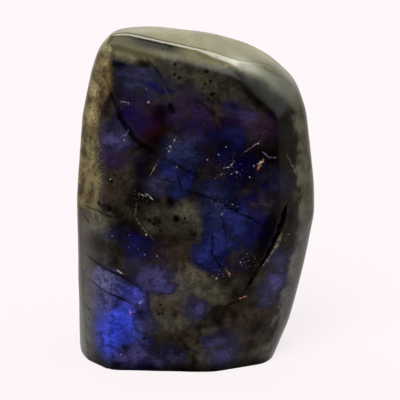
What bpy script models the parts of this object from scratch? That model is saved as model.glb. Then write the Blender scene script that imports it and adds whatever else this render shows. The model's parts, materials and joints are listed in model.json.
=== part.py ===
"""Polished labradorite freeform: one piece of stone, ground to soft flats, polished, and sawn flat below.

Metres, +Z up. The origin is in the middle of the sawn base, on the surface that the stone stands on.
The broad front face, which shows the flash, looks along -Y, and leans back a little.
"""

import math

import bmesh
import bpy
from mathutils import Matrix, Vector

MM = 0.001

# Driving dimensions: the stone's overall size. The flats are placed by shares of it.
STONE_WIDTH = 83 * MM
STONE_DEPTH = 42 * MM
STONE_HEIGHT = 116 * MM

# What the saw leaves below the base until the last cut, and the margin of the block round the flats.
SAW_WASTE = 2.6 * MM
BLOCK_MARGIN = 6 * MM

# Rounding of the ridges. The surface is divided to this pitch and polished by this many passes, and then
# keeps this share of its facets.
SURFACE_PITCH = 1.1 * MM
POLISH_PASSES = 22
POLISH_STRENGTH = 0.5
FACETS_KEPT = 0.15

# Each ground flat: the way it faces (degrees from +X towards +Y), how far it looks up (degrees), and one
# point on it, as shares of the stone's width and depth from the middle and of its height from the base.
FLATS = {
    "front": (-93, 6, (0.07, -0.51, 0.0)),
    "front_low_right": (-68, -4, (0.07, -0.51, 0.0)),
    "brow": (-84, 35, (-0.13, -0.19, 0.93)),
    "left_bevel": (-137, 3.5, (-0.425, -0.33, 0.0)),
    "left_edge": (-158, 0, (-0.490, -0.124, 0.0)),
    "left_side": (180, 0.5, (-0.504, 0.0, 0.26)),
    "left_shoulder": (180, 6, (-0.495, 0.0, 0.57)),
    "left_upper": (180, 14, (-0.440, 0.0, 0.83)),
    "left_brow": (180, 20, (-0.405, 0.0, 0.912)),
    "left_temple": (180, 31, (-0.378, 0.0, 0.956)),
    "right_bevel_low": (-35, -9, (0.315, -0.26, 0.0)),
    "right_bevel_high": (-40, 6, (0.422, -0.17, 0.66)),
    "right_side_low": (0, -14, (0.438, 0.0, 0.20)),
    "right_waist_low": (0, -9.6, (0.505, 0.0, 0.444)),
    "right_waist_high": (0, 0, (0.506, 0.0, 0.49)),
    "right_side_high": (0, 8, (0.486, 0.0, 0.62)),
    "right_upper": (0, 20, (0.447, 0.0, 0.78)),
    "right_foot": (-5, -24, (0.352, 0.0, 0.015)),
    "crown_west": (-55, 78, (-0.145, -0.12, 0.975)),
    "crown_east": (-47, 66, (0.205, -0.14, 0.905)),
    "crown_back": (75, 50, (-0.05, 0.33, 0.985)),
    "crown_left": (180, 46, (-0.3464, 0.0, 0.9767)),
    "crown_far_left": (180, 80, (-0.277, 0.0, 0.992)),
    "crown_top": (180, 87, (-0.219, 0.0, 0.9955)),
    "crown_right": (-8, 48, (0.337, 0.0, 0.884)),
    "crown_far_right": (0, 60, (0.254, 0.0, 0.934)),
    "corner_right": (-60, 35, (0.295, -0.21, 0.82)),
    "back": (90, 5, (0.0, 0.50, 0.0)),
    "back_left": (140, 4, (-0.41, 0.33, 0.26)),
    "back_right": (38, 0, (0.40, 0.29, 0.39)),
}

# The open fissure that runs down the right of the front face, between these two points of the surface.
FISSURE_TOP = Vector((33.6, -10.8, 59.8)) * MM
FISSURE_FOOT = Vector((19.6, -17.6, 30.8)) * MM
FISSURE_WIDTH = 3.2 * MM
FISSURE_DEPTH = 4.0 * MM
FISSURE_FACING = -62
FISSURE_SIDES = 10

# Chips off the sawn rim: where each one bites (from the middle of the base), and its radius.
RIM_CHIPS = {
    "chip_front_left": (Vector((-30.5, -20.0, -0.8)) * MM, 2.0 * MM),
    "chip_front_right": (Vector((17.5, -19.2, -0.8)) * MM, 2.6 * MM),
    "chip_right": (Vector((30.6, 4.0, -1.0)) * MM, 2.6 * MM),
    "chip_back": (Vector((12.0, 22.6, -0.8)) * MM, 3.0 * MM),
    "chip_back_left": (Vector((-30.0, 20.0, -0.8)) * MM, 3.4 * MM),
}
CHIP_FACETS = 2

STONE_COLOUR = (0.10, 0.11, 0.13, 1.0)
POLISHED_ROUGHNESS = 0.15


def clear_scene():
    """Removes what the file starts with."""
    for old in list(bpy.data.objects):
        bpy.data.objects.remove(old)


def facing(azimuth, upward):
    """The unit vector that faces azimuth degrees round from +X and upward degrees above the horizon."""
    turn, rise = math.radians(azimuth), math.radians(upward)
    return Vector((math.cos(turn) * math.cos(rise), math.sin(turn) * math.cos(rise), math.sin(rise)))


def new_object(name, shape):
    """Makes an object of a bmesh, and frees the bmesh."""
    mesh = bpy.data.meshes.new(name)
    shape.to_mesh(mesh)
    shape.free()
    made = bpy.data.objects.new(name, mesh)
    bpy.context.collection.objects.link(made)
    return made


def new_block(size, middle):
    """A bmesh box of this size round this point."""
    block = bmesh.new()
    bmesh.ops.create_cube(block, size=1.0)
    bmesh.ops.scale(block, vec=size, verts=block.verts)
    bmesh.ops.translate(block, vec=middle, verts=block.verts)
    return block


def grind(block, azimuth, upward, share):
    """Grinds one flat on the block, and closes the cut."""
    point = Vector((share[0] * STONE_WIDTH, share[1] * STONE_DEPTH, share[2] * STONE_HEIGHT))
    cut = bmesh.ops.bisect_plane(
        block,
        geom=block.verts[:] + block.edges[:] + block.faces[:],
        plane_co=point,
        plane_no=facing(azimuth, upward),
        clear_outer=True,
    )
    rim = [part for part in cut["geom_cut"] if isinstance(part, bmesh.types.BMEdge)]
    bmesh.ops.contextual_create(block, geom=rim)


def ground_stone():
    """The block with every flat ground on it, still on its saw waste."""
    across = STONE_WIDTH + 2 * BLOCK_MARGIN
    through = STONE_DEPTH + 2 * BLOCK_MARGIN
    top = STONE_HEIGHT + BLOCK_MARGIN
    size = Vector((across, through, top + SAW_WASTE))
    block = new_block(size, Vector((0, 0, (top - SAW_WASTE) / 2)))
    for azimuth, upward, share in FLATS.values():
        grind(block, azimuth, upward, share)
    bmesh.ops.recalc_face_normals(block, faces=block.faces)
    return new_object("stone", block)


def polish(stone):
    """Rounds the ridges between the flats, and the rim round the base."""
    even = stone.modifiers.new("even_surface", "REMESH")
    even.mode = "VOXEL"
    even.voxel_size = SURFACE_PITCH
    soft = stone.modifiers.new("polish", "SMOOTH")
    soft.factor = POLISH_STRENGTH
    soft.iterations = POLISH_PASSES
    spare = stone.modifiers.new("spare_facets", "DECIMATE")
    spare.decimate_type = "COLLAPSE"
    spare.ratio = FACETS_KEPT
    spare.use_collapse_triangulate = True


def cut_away(stone, cutter):
    """Takes the cutter's shape out of the stone."""
    cutter.display_type = "WIRE"
    cutter.hide_render = True
    cut = stone.modifiers.new(cutter.name, "BOOLEAN")
    cut.operation = "DIFFERENCE"
    cut.solver = "EXACT"
    cut.object = cutter


def saw_blade():
    """What the saw takes away under the base."""
    size = Vector((2 * STONE_WIDTH, 2 * STONE_WIDTH, STONE_DEPTH))
    return new_object("saw_blade", new_block(size, Vector((0, 0, -STONE_DEPTH / 2))))


def add_fissure(hollows):
    """Adds the open fissure: a long wedge with pointed ends, which narrows into the stone."""
    wedge = bmesh.ops.create_cone(
        hollows,
        cap_ends=True,
        segments=FISSURE_SIDES,
        radius1=0.25,
        radius2=1.0,
        depth=2.0,
    )
    along = FISSURE_TOP - FISSURE_FOOT
    length = along.length
    along.normalize()
    across = along.cross(facing(FISSURE_FACING, 0)).normalized()
    outward = across.cross(along)
    axes = Matrix((across * FISSURE_WIDTH / 2, along * length / 2, outward * FISSURE_DEPTH)).transposed()
    place = axes.to_4x4()
    place.translation = (FISSURE_TOP + FISSURE_FOOT) / 2
    bmesh.ops.transform(hollows, matrix=place, verts=wedge["verts"])


def add_rim_chip(hollows, place, radius):
    """Adds a small shell-shaped bite out of the rim."""
    bite = bmesh.ops.create_icosphere(hollows, subdivisions=CHIP_FACETS, radius=radius)
    bmesh.ops.translate(hollows, vec=place, verts=bite["verts"])


def hollow_shapes():
    """The fissure and the chips, which stand clear of each other."""
    hollows = bmesh.new()
    add_fissure(hollows)
    for place, radius in RIM_CHIPS.values():
        add_rim_chip(hollows, place, radius)
    bmesh.ops.recalc_face_normals(hollows, faces=hollows.faces)
    return new_object("hollow_shapes", hollows)


def labradorite():
    """The stone's material: dark, with a polish."""
    made = bpy.data.materials.new("labradorite")
    made.use_nodes = True
    shader = made.node_tree.nodes["Principled BSDF"]
    shader.inputs["Base Color"].default_value = STONE_COLOUR
    shader.inputs["Roughness"].default_value = POLISHED_ROUGHNESS
    shader.inputs["Metallic"].default_value = 0.0
    return made


def main():
    clear_scene()
    stone = ground_stone()
    polish(stone)
    cut_away(stone, hollow_shapes())
    cut_away(stone, saw_blade())
    stone.data.materials.append(labradorite())


main()
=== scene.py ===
"""Polished labradorite freeform: the fine stone, its finish and a plain studio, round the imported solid.

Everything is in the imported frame: metres, +Z up, and the front face, which shows the flash, looks along -Y.
What is inside the stone (flash, haze, seams, grains) is placed in millimetres from the middle of the base.
"""

import json
import logging
import math
from collections.abc import Iterator, Mapping, Sequence
from contextlib import contextmanager
from dataclasses import dataclass, field
from enum import Enum

import bpy
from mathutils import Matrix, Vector

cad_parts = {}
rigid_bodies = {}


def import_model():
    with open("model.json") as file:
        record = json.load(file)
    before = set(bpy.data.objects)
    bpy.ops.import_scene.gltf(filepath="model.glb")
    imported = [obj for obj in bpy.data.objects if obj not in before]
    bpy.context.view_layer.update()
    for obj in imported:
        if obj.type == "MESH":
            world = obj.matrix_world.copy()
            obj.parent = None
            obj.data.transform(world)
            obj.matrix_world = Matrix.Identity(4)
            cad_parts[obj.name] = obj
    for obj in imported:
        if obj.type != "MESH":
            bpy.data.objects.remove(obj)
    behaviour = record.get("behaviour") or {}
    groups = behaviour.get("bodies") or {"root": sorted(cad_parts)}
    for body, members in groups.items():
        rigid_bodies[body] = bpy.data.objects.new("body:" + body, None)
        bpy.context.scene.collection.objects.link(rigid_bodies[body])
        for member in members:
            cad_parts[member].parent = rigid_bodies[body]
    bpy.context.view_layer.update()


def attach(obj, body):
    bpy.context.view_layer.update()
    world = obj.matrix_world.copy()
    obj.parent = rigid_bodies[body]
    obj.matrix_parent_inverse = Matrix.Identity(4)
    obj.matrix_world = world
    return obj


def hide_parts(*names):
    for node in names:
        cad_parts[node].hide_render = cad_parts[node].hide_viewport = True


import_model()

MM = 0.001
MM_PER_METRE = 1000.0
STONE_NODE = "stone"
STONE_BODY = "root"
CUT_THRESHOLD = 1e-6
Colour = tuple[float, float, float]
Point = tuple[float, float, float]
Socket = bpy.types.NodeSocket
log = logging.getLogger("labradorite")


# ---------------------------------------------------------------- modelling helpers


def select_nothing() -> None:
    """Deselects every object."""
    for other in bpy.context.view_layer.objects:
        other.select_set(False)


def select_only(piece: bpy.types.Object) -> None:
    """Selects one object and nothing else, and makes it the active one.

    Args:
        piece: The object that the next operators act on.
    """
    select_nothing()
    piece.select_set(True)
    bpy.context.view_layer.objects.active = piece


@contextmanager
def editing(piece: bpy.types.Object) -> Iterator[None]:
    """Opens an object in edit mode with all of it selected, and closes it again.

    Args:
        piece: The mesh object to edit.

    Yields:
        Nothing; the operators inside act on the piece.
    """
    select_only(piece)
    bpy.ops.object.mode_set(mode="EDIT")
    bpy.ops.mesh.select_all(action="SELECT")
    yield
    bpy.ops.object.mode_set(mode="OBJECT")


def newest(name: str) -> bpy.types.Object:
    """Names the object that an operator has just added, and settles its place into its mesh.

    Args:
        name: The name that the object gets.

    Returns:
        The object, at the origin, unturned and unscaled.
    """
    made = bpy.context.view_layer.objects.active
    made.name = name
    made.data.name = name
    select_only(made)
    bpy.ops.object.transform_apply(location=True, rotation=True, scale=True)
    return made


def apply_modifier(piece: bpy.types.Object, name: str, kind: str, **settings: object) -> None:
    """Adds a modifier with these settings and applies it at once.

    Args:
        piece: The object that the modifier shapes.
        name: The modifier's name.
        kind: Blender's type of modifier.
        **settings: The modifier's values.
    """
    select_only(piece)
    modifier = piece.modifiers.new(name, kind)
    for key, value in settings.items():
        setattr(modifier, key, value)
    bpy.ops.object.modifier_apply(modifier=modifier.name)


def slice_off(point: Sequence[float], outward: Sequence[float]) -> None:
    """Cuts the mesh that is open for editing with a plane, and closes the cut.

    Args:
        point: A point of the plane.
        outward: The way the plane faces; what lies beyond it is dropped.
    """
    bpy.ops.mesh.select_all(action="SELECT")
    bpy.ops.mesh.bisect(
        plane_co=point,
        plane_no=outward,
        use_fill=True,
        clear_outer=True,
        threshold=CUT_THRESHOLD,
    )


def displace(piece: bpy.types.Object, name: str, scale: float, depth: int, strength: float) -> None:
    """Pushes a surface in and out by a cloud texture.

    Args:
        piece: The object to displace.
        name: The name of the modifier and its texture.
        scale: The size of the texture's lumps, in metres.
        depth: How many finer layers the texture has.
        strength: How far the highest lump stands over the deepest one, in metres.
    """
    clouds = bpy.data.textures.new(name, "CLOUDS")
    clouds.noise_scale = scale
    clouds.noise_depth = depth
    apply_modifier(
        piece,
        name,
        "DISPLACE",
        texture=clouds,
        texture_coords="LOCAL",
        strength=strength,
        mid_level=0.5,
    )


def facing(azimuth: float, upward: float) -> Vector:
    """Returns the unit vector that looks azimuth degrees round from +X and upward degrees up."""
    turn, rise = math.radians(azimuth), math.radians(upward)
    return Vector((math.cos(turn) * math.cos(rise), math.sin(turn) * math.cos(rise), math.sin(rise)))


# ---------------------------------------------------------------- the stone's form


@dataclass(frozen=True)
class Flat:
    """One ground flat.

    Attributes:
        azimuth: The way it faces, in degrees from +X towards +Y.
        upward: How far it looks up, in degrees.
        share: A point on it, as shares of the stone's width, depth and height.
    """

    azimuth: float
    upward: float
    share: Point

    def facing(self) -> Vector:
        """Returns the unit vector that the flat faces along."""
        return facing(self.azimuth, self.upward)

    def point(self, size: Vector) -> Vector:
        """Returns the point on the flat, for a stone of this size."""
        return Vector(share * side for share, side in zip(self.share, size))

    def height_of(self, place: Vector, size: Vector) -> float:
        """Returns how far a place stands proud of the flat's plane."""
        return (place - self.point(size)).dot(self.facing())


FLATS: Mapping[str, Flat] = {
    "front": Flat(-93, 6, (0.07, -0.51, 0.0)),
    "front_low_right": Flat(-68, -4, (0.07, -0.51, 0.0)),
    "brow": Flat(-84, 35, (-0.13, -0.19, 0.93)),
    "left_bevel": Flat(-137, 3.5, (-0.425, -0.33, 0.0)),
    "left_edge": Flat(-158, 0, (-0.490, -0.124, 0.0)),
    "left_side": Flat(180, 0.5, (-0.504, 0.0, 0.26)),
    "left_shoulder": Flat(180, 6, (-0.495, 0.0, 0.57)),
    "left_upper": Flat(180, 14, (-0.440, 0.0, 0.83)),
    "left_brow": Flat(180, 20, (-0.405, 0.0, 0.912)),
    "left_temple": Flat(180, 31, (-0.378, 0.0, 0.956)),
    "right_bevel_low": Flat(-35, -9, (0.315, -0.26, 0.0)),
    "right_bevel_high": Flat(-40, 6, (0.422, -0.17, 0.66)),
    "right_side_low": Flat(0, -14, (0.438, 0.0, 0.20)),
    "right_waist_low": Flat(0, -9.6, (0.505, 0.0, 0.444)),
    "right_waist_high": Flat(0, 0, (0.506, 0.0, 0.49)),
    "right_side_high": Flat(0, 8, (0.486, 0.0, 0.62)),
    "right_upper": Flat(0, 20, (0.447, 0.0, 0.78)),
    "right_foot": Flat(-5, -24, (0.352, 0.0, 0.015)),
    "crown_west": Flat(-55, 78, (-0.145, -0.12, 0.975)),
    "crown_east": Flat(-47, 66, (0.205, -0.14, 0.905)),
    "crown_back": Flat(75, 50, (-0.05, 0.33, 0.985)),
    "crown_mid": Flat(-62, 67.5, (-0.076, -0.1274, 0.9565)),
    "crown_left": Flat(180, 46, (-0.3464, 0.0, 0.9767)),
    "crown_far_left": Flat(180, 80, (-0.277, 0.0, 0.992)),
    "crown_top": Flat(180, 87, (-0.219, 0.0, 0.9955)),
    "crown_right": Flat(-8, 48, (0.337, 0.0, 0.884)),
    "crown_far_right": Flat(0, 60, (0.254, 0.0, 0.934)),
    "corner_right": Flat(-60, 35, (0.295, -0.21, 0.82)),
    "back": Flat(90, 5, (0.0, 0.50, 0.0)),
    "back_left": Flat(140, 4, (-0.41, 0.33, 0.26)),
    "back_right": Flat(38, 0, (0.40, 0.29, 0.39)),
}

# The stone's overall size, by which the flats are placed.
STONE_SIZE = Vector((83, 42, 116)) * MM

# The pairs of flats whose ridge the polisher left crisp, and the flats that carry a pale rind; on the brow
# and the corner that paleness is partly painted reflection.
CRISP_RIDGES = (("brow", "crown_west"), ("brow", "crown_mid"))
RIGHT_FLATS = ("right_side_low", "right_waist_high", "right_side_high", "right_upper")
CROWN_FLATS = ("crown_far_left", "crown_west", "crown_mid", "crown_east")
BROW_FLATS = ("brow", "corner_right")


@dataclass(frozen=True)
class FissureStation:
    """One place along the open fissure: a point on the surface, and the gap's width and depth, in mm."""

    place: Point
    wide: float
    deep: float


@dataclass(frozen=True)
class Chip:
    """A small bite out of the sawn rim: its middle and its radius, in mm."""

    place: Point
    radius: float


@dataclass
class Stone:
    """The whole stone: a block, ground to flats, polished, sawn flat below, with its fissure and chips."""

    name: str = "polished_stone"
    size: Vector = field(default_factory=lambda: STONE_SIZE.copy())
    saw_waste: float = 2.6 * MM
    margin: float = 6 * MM
    pitch: float = 0.66 * MM
    polish_strength: float = 0.5
    first_passes: int = 14
    last_passes: int = 110
    crisp_reach: float = 3.2 * MM
    crisp_core: float = 0.35
    crisp_end: float = -1.0 * MM
    crisp_fade: float = 0.5
    wave_size: float = 16 * MM
    wave_height: float = 0.35 * MM
    break_size: float = 1.4 * MM
    break_height: float = 0.6 * MM
    fissure: Sequence[FissureStation] = (
        FissureStation((31.0, -14.8, 58.6), 0.4, 0.8),
        FissureStation((30.5, -15.2, 57.0), 1.3, 2.2),
        FissureStation((29.8, -15.6, 54.8), 2.3, 3.6),
        FissureStation((29.7, -15.7, 52.6), 2.0, 3.8),
        FissureStation((28.6, -16.0, 50.8), 2.4, 4.0),
        FissureStation((28.3, -16.2, 48.6), 1.5, 3.2),
        FissureStation((26.9, -16.5, 46.6), 2.0, 3.4),
        FissureStation((26.4, -16.7, 44.4), 1.3, 3.0),
        FissureStation((25.0, -17.0, 42.2), 1.9, 3.0),
        FissureStation((24.3, -17.2, 40.4), 1.1, 2.4),
        FissureStation((22.8, -17.4, 38.6), 1.3, 2.2),
        FissureStation((21.9, -17.6, 37.0), 0.7, 1.4),
        FissureStation((20.8, -17.8, 35.4), 0.3, 0.6),
    )
    chips: Sequence[Chip] = (
        Chip((-30.5, -20.0, -0.8), 2.0),
        Chip((17.5, -19.2, -0.8), 2.6),
        Chip((30.6, 4.0, -1.0), 2.6),
        Chip((12.0, 22.6, -0.8), 3.0),
        Chip((-30.0, 20.0, -0.8), 3.4),
    )
    ring_points: int = 10
    wall_cuts: int = 2
    chip_facets: int = 3
    sharp_angle: float = math.radians(38)

    def build(self, broken: bpy.types.Material) -> bpy.types.Object:
        """Models the stone.

        Args:
            broken: The material of the faces inside the fissure and the chips.

        Returns:
            The finished mesh object.
        """
        stone = self._block()
        self._grind(stone)
        self._polish(stone)
        self._saw(stone)
        self._open(stone, self._fissure_cutter(), broken)
        for number, chip in enumerate(self.chips):
            self._open(stone, self._chip_cutter(number, chip), broken)
        select_only(stone)
        bpy.ops.object.shade_smooth_by_angle(angle=self.sharp_angle)
        return stone

    def dress(self, stone: bpy.types.Object, polished: bpy.types.Material) -> None:
        """Gives the stone its polish, and leaves the broken faces as they are.

        Args:
            stone: The object that build returned.
            polished: The material of the polished skin and the sawn base.
        """
        stone.data.materials[0] = polished

    def _block(self) -> bpy.types.Object:
        """Returns the block that the stone is ground from, a little larger all round."""
        across = self.size.x + 2 * self.margin
        through = self.size.y + 2 * self.margin
        top = self.size.z + self.margin
        select_nothing()
        bpy.ops.mesh.primitive_cube_add(
            size=1.0,
            location=(0, 0, (top - self.saw_waste) / 2),
            scale=(across, through, top + self.saw_waste),
        )
        block = newest(self.name)
        block.data.materials.append(None)
        return block

    def _grind(self, stone: bpy.types.Object) -> None:
        """Grinds every flat on the block, and closes each cut."""
        with editing(stone):
            for flat in FLATS.values():
                slice_off(flat.point(self.size), flat.facing())

    def _polish(self, stone: bpy.types.Object) -> None:
        """Rounds the ridges, the crisp ones least, and leaves faint waves of hand grinding."""
        strength = self.polish_strength
        apply_modifier(stone, "even surface", "REMESH", mode="VOXEL", voxel_size=self.pitch)
        apply_modifier(stone, "first polish", "SMOOTH", factor=strength, iterations=self.first_passes)
        self._mark_soft_ridges(stone)
        apply_modifier(
            stone,
            "last polish",
            "SMOOTH",
            factor=strength,
            iterations=self.last_passes,
            vertex_group="soft ridges",
        )
        displace(stone, "hand ground", self.wave_size, 1, self.wave_height)

    def _mark_soft_ridges(self, stone: bpy.types.Object) -> None:
        """Weights the vertices that the last polish may round, which spares the crisp ridges."""
        group = stone.vertex_groups.new(name="soft ridges")
        for vertex in stone.data.vertices:
            nearest = min(
                max(abs(FLATS[name].height_of(vertex.co, self.size)) for name in pair)
                for pair in CRISP_RIDGES
            )
            nearest += max(0.0, vertex.co.x - self.crisp_end) * self.crisp_fade
            weight = min(1.0, max(0.0, nearest / self.crisp_reach - self.crisp_core))
            group.add([vertex.index], weight, "REPLACE")

    def _saw(self, stone: bpy.types.Object) -> None:
        """Saws the base flat, at the height of the surface that the stone stands on."""
        with editing(stone):
            slice_off((0, 0, 0), (0, 0, -1))

    def _open(self, stone: bpy.types.Object, cutter: bpy.types.Object, broken: bpy.types.Material) -> None:
        """Takes a cutter's shape out of the stone, whose new faces get the broken finish."""
        cutter.data.materials.append(broken)
        apply_modifier(
            stone,
            cutter.name,
            "BOOLEAN",
            operation="DIFFERENCE",
            solver="EXACT",
            object=cutter,
            material_mode="TRANSFER",
        )
        bpy.data.objects.remove(cutter)

    def _fissure_cutter(self) -> bpy.types.Object:
        """Returns the fissure's shape: rings along its route, bridged and closed, with rough walls."""
        stations = self.fissure
        places = [Vector(station.place) * MM for station in stations]
        select_nothing()
        for number, station in enumerate(stations):
            ahead = places[min(number + 1, len(places) - 1)] - places[max(number - 1, 0)]
            across = ahead.cross(FLATS["front_low_right"].facing())
            outward = across.cross(ahead)
            turn = ahead.to_track_quat("Z", "Y").to_matrix()
            bpy.ops.mesh.primitive_circle_add(
                vertices=self.ring_points,
                radius=1.0,
                fill_type="NGON" if number in (0, len(stations) - 1) else "NOTHING",
                location=places[number],
            )
            ring = newest(f"fissure_ring_{number}")
            for vertex in ring.data.vertices:
                flat = vertex.co - places[number]
                vertex.co = (
                    places[number]
                    + across.normalized() * flat.x * station.wide * MM / 2
                    + outward.normalized() * flat.y * station.deep * MM
                )
        rings = [bpy.data.objects[f"fissure_ring_{number}"] for number in range(len(stations))]
        for ring in rings:
            ring.select_set(True)
        bpy.context.view_layer.objects.active = rings[0]
        bpy.ops.object.join()
        cutter = rings[0]
        cutter.name = "fissure"
        with editing(cutter):
            bpy.ops.mesh.bridge_edge_loops()
            bpy.ops.mesh.select_all(action="SELECT")
            bpy.ops.mesh.quads_convert_to_tris()
            bpy.ops.mesh.subdivide(number_cuts=self.wall_cuts)
            bpy.ops.mesh.normals_make_consistent(inside=False)
        self._roughen(cutter)
        return cutter

    def _chip_cutter(self, number: int, chip: Chip) -> bpy.types.Object:
        """Returns the shape of one small bite out of the rim."""
        select_nothing()
        bpy.ops.mesh.primitive_ico_sphere_add(
            subdivisions=self.chip_facets,
            radius=chip.radius * MM,
            location=Vector(chip.place) * MM,
        )
        cutter = newest(f"chip_{number}")
        self._roughen(cutter)
        return cutter

    def _roughen(self, cutter: bpy.types.Object) -> None:
        """Makes a cutter's walls uneven, as broken feldspar is."""
        displace(cutter, "rough walls", self.break_size, 2, self.break_height)


# ---------------------------------------------------------------- shader helpers


class Value:
    """A number that changes over the surface; arithmetic on it adds Math nodes."""

    def __init__(self, graph: "Graph", socket: Socket) -> None:
        """Wraps an output socket of a graph."""
        self.graph = graph
        self.socket = socket

    def _math(self, operation: str, first: object, second: object) -> "Value":
        """Adds one Math node.

        Args:
            operation: Blender's name of the operation.
            first: A number or a Value.
            second: A number or a Value.

        Returns:
            The node's result.
        """
        made = self.graph.node("ShaderNodeMath", {"operation": operation}, {0: first, 1: second})
        return Value(self.graph, made.outputs[0])

    def __add__(self, other: object) -> "Value":
        """Returns self + other."""
        return self._math("ADD", self, other)

    def __radd__(self, other: object) -> "Value":
        """Returns other + self."""
        return self._math("ADD", other, self)

    def __sub__(self, other: object) -> "Value":
        """Returns self - other."""
        return self._math("SUBTRACT", self, other)

    def __rsub__(self, other: object) -> "Value":
        """Returns other - self."""
        return self._math("SUBTRACT", other, self)

    def __mul__(self, other: object) -> "Value":
        """Returns self * other."""
        return self._math("MULTIPLY", self, other)

    def __rmul__(self, other: object) -> "Value":
        """Returns other * self."""
        return self._math("MULTIPLY", other, self)

    def highest(self, other: object) -> "Value":
        """Returns the larger of self and other."""
        return self._math("MAXIMUM", self, other)

    def eased(self, start: float, end: float, low: float = 0.0, high: float = 1.0) -> "Value":
        """Maps self smoothly, and stops at both ends.

        Args:
            start: Where the result is low.
            end: Where the result is high; it may lie below start.
            low: The result at start and before it.
            high: The result at end and after it.

        Returns:
            The mapped value.
        """
        made = self.graph.node(
            "ShaderNodeMapRange",
            {"interpolation_type": "SMOOTHSTEP", "clamp": False},
            {0: self, 1: start, 2: end, 3: low, 4: high},
        )
        return Value(self.graph, made.outputs[0])


@dataclass(frozen=True)
class Lumps:
    """A noise's lumps: their size in the units of the place, their finer layers and the layers' share."""

    size: float
    detail: float = 2.0
    roughness: float = 0.5


class Graph:
    """One material's or world's node tree, and the methods that add to it."""

    def __init__(self, tree: bpy.types.NodeTree) -> None:
        """Empties the tree."""
        self.tree = tree
        tree.nodes.clear()

    def node(
        self,
        kind: str,
        settings: Mapping[str, object] | None = None,
        inputs: Mapping[int | str, object] | None = None,
    ) -> bpy.types.Node:
        """Adds any node.

        Args:
            kind: Blender's type of node.
            settings: Its properties.
            inputs: A value or a link for each socket, by its number or name.

        Returns:
            The node.
        """
        made = self.tree.nodes.new(kind)
        for name, value in (settings or {}).items():
            setattr(made, name, value)
        for name, value in (inputs or {}).items():
            self._feed(made.inputs[name], value)
        return made

    def _feed(self, socket: Socket, value: object) -> None:
        """Links a socket, or sets its value.

        Args:
            socket: The input.
            value: A Value, an output socket, a number, or three or four numbers.
        """
        if isinstance(value, Value):
            value = value.socket
        if isinstance(value, Socket):
            self.tree.links.new(value, socket)
        elif isinstance(value, (int, float)):
            socket.default_value = value
        else:
            numbers = tuple(value)
            wanted = len(socket.default_value)
            socket.default_value = numbers + (1.0,) * (wanted - len(numbers))

    def _vector_math(self, operation: str, inputs: Mapping[int | str, object]) -> bpy.types.Node:
        """Adds one Vector Math node."""
        return self.node("ShaderNodeVectorMath", {"operation": operation}, inputs)

    def vector(self, operation: str, *values: object) -> Socket:
        """Returns the vector that one Vector Math node makes of these values."""
        return self._vector_math(operation, dict(enumerate(values))).outputs["Vector"]

    def measure(self, operation: str, *values: object) -> Value:
        """Returns the number that one Vector Math node makes of these values."""
        return Value(self, self._vector_math(operation, dict(enumerate(values))).outputs["Value"])

    def scaled(self, vector: Socket, factor: object) -> Socket:
        """Returns the vector times a number."""
        return self._vector_math("SCALE", {"Vector": vector, "Scale": factor}).outputs["Vector"]

    def axes(self, vector: Socket) -> tuple[Value, Value, Value]:
        """Returns the vector's three parts."""
        made = self.node("ShaderNodeSeparateXYZ", None, {0: vector})
        return tuple(Value(self, socket) for socket in made.outputs)

    def noise(self, place: Socket, lumps: Lumps) -> bpy.types.Node:
        """Adds a Noise Texture with these lumps."""
        return self.node(
            "ShaderNodeTexNoise",
            {"noise_dimensions": "3D"},
            {
                "Vector": place,
                "Scale": 1.0 / lumps.size,
                "Detail": lumps.detail,
                "Roughness": lumps.roughness,
            },
        )

    def cloudy(self, place: Socket, lumps: Lumps) -> Value:
        """Returns a noise from 0 to 1, which stays near 0.5."""
        return Value(self, self.noise(place, lumps).outputs[0])

    def voronoi(self, place: Socket, size: float, feature: str, softness: float = 1.0) -> bpy.types.Node:
        """Adds a Voronoi Texture whose cells have this size.

        Args:
            place: Where it is read.
            size: The cells' size, in the units of place.
            feature: Blender's name of what it measures.
            softness: How far cells of the smooth feature run into each other.

        Returns:
            The node.
        """
        inputs = {"Vector": place, "Scale": 1 / size}
        if feature == "SMOOTH_F1":
            inputs["Smoothness"] = softness
        return self.node("ShaderNodeTexVoronoi", {"feature": feature}, inputs)

    def ramp(self, factor: object, stops: Sequence[tuple[float, Colour]]) -> Socket:
        """Returns a colour that runs through these stops, each one a position and a colour."""
        made = self.node("ShaderNodeValToRGB", None, {0: factor})
        elements = made.color_ramp.elements
        while len(elements) < len(stops):
            elements.new(1.0)
        for element, (position, colour) in zip(elements, stops):
            element.position = position
            element.color = (*colour, 1.0)
        return made.outputs[0]

    def dimmed(self, colour: object, value: Value) -> Socket:
        """Returns a colour times a number."""
        grey = self.node("ShaderNodeCombineColor", None, {0: value, 1: value, 2: value}).outputs[0]
        return self.mix(1.0, colour, grey, "MULTIPLY")

    def shader(self, kind: str, **inputs: object) -> Socket:
        """Returns a shader of this kind; an underscore in an input's name stands for a space."""
        named = {name.replace("_", " "): value for name, value in inputs.items()}
        return self.node(kind, None, named).outputs[0]

    def either(self, factor: object, first: Socket, second: Socket) -> Socket:
        """Returns the first shader where the factor is 0 and the second where it is 1."""
        return self.node("ShaderNodeMixShader", None, {0: factor, 1: first, 2: second}).outputs[0]

    def mix(self, factor: object, first: object, second: object, blend: str = "MIX") -> Socket:
        """Mixes two colours.

        Args:
            factor: How much of the second one, from 0 to 1.
            first: A colour or a colour socket.
            second: A colour or a colour socket.
            blend: Blender's name of the way they mix.

        Returns:
            The mixed colour.
        """
        made = self.node(
            "ShaderNodeMix",
            {"data_type": "RGBA", "blend_type": blend, "clamp_factor": True},
            {0: factor, 6: first, 7: second},
        )
        return made.outputs[2]


def new_material(name: str) -> tuple[bpy.types.Material, Graph]:
    """Makes an empty material.

    Args:
        name: The material's name.

    Returns:
        The material and its graph.
    """
    made = bpy.data.materials.new(name)
    made.use_nodes = True
    return made, Graph(made.node_tree)


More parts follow.
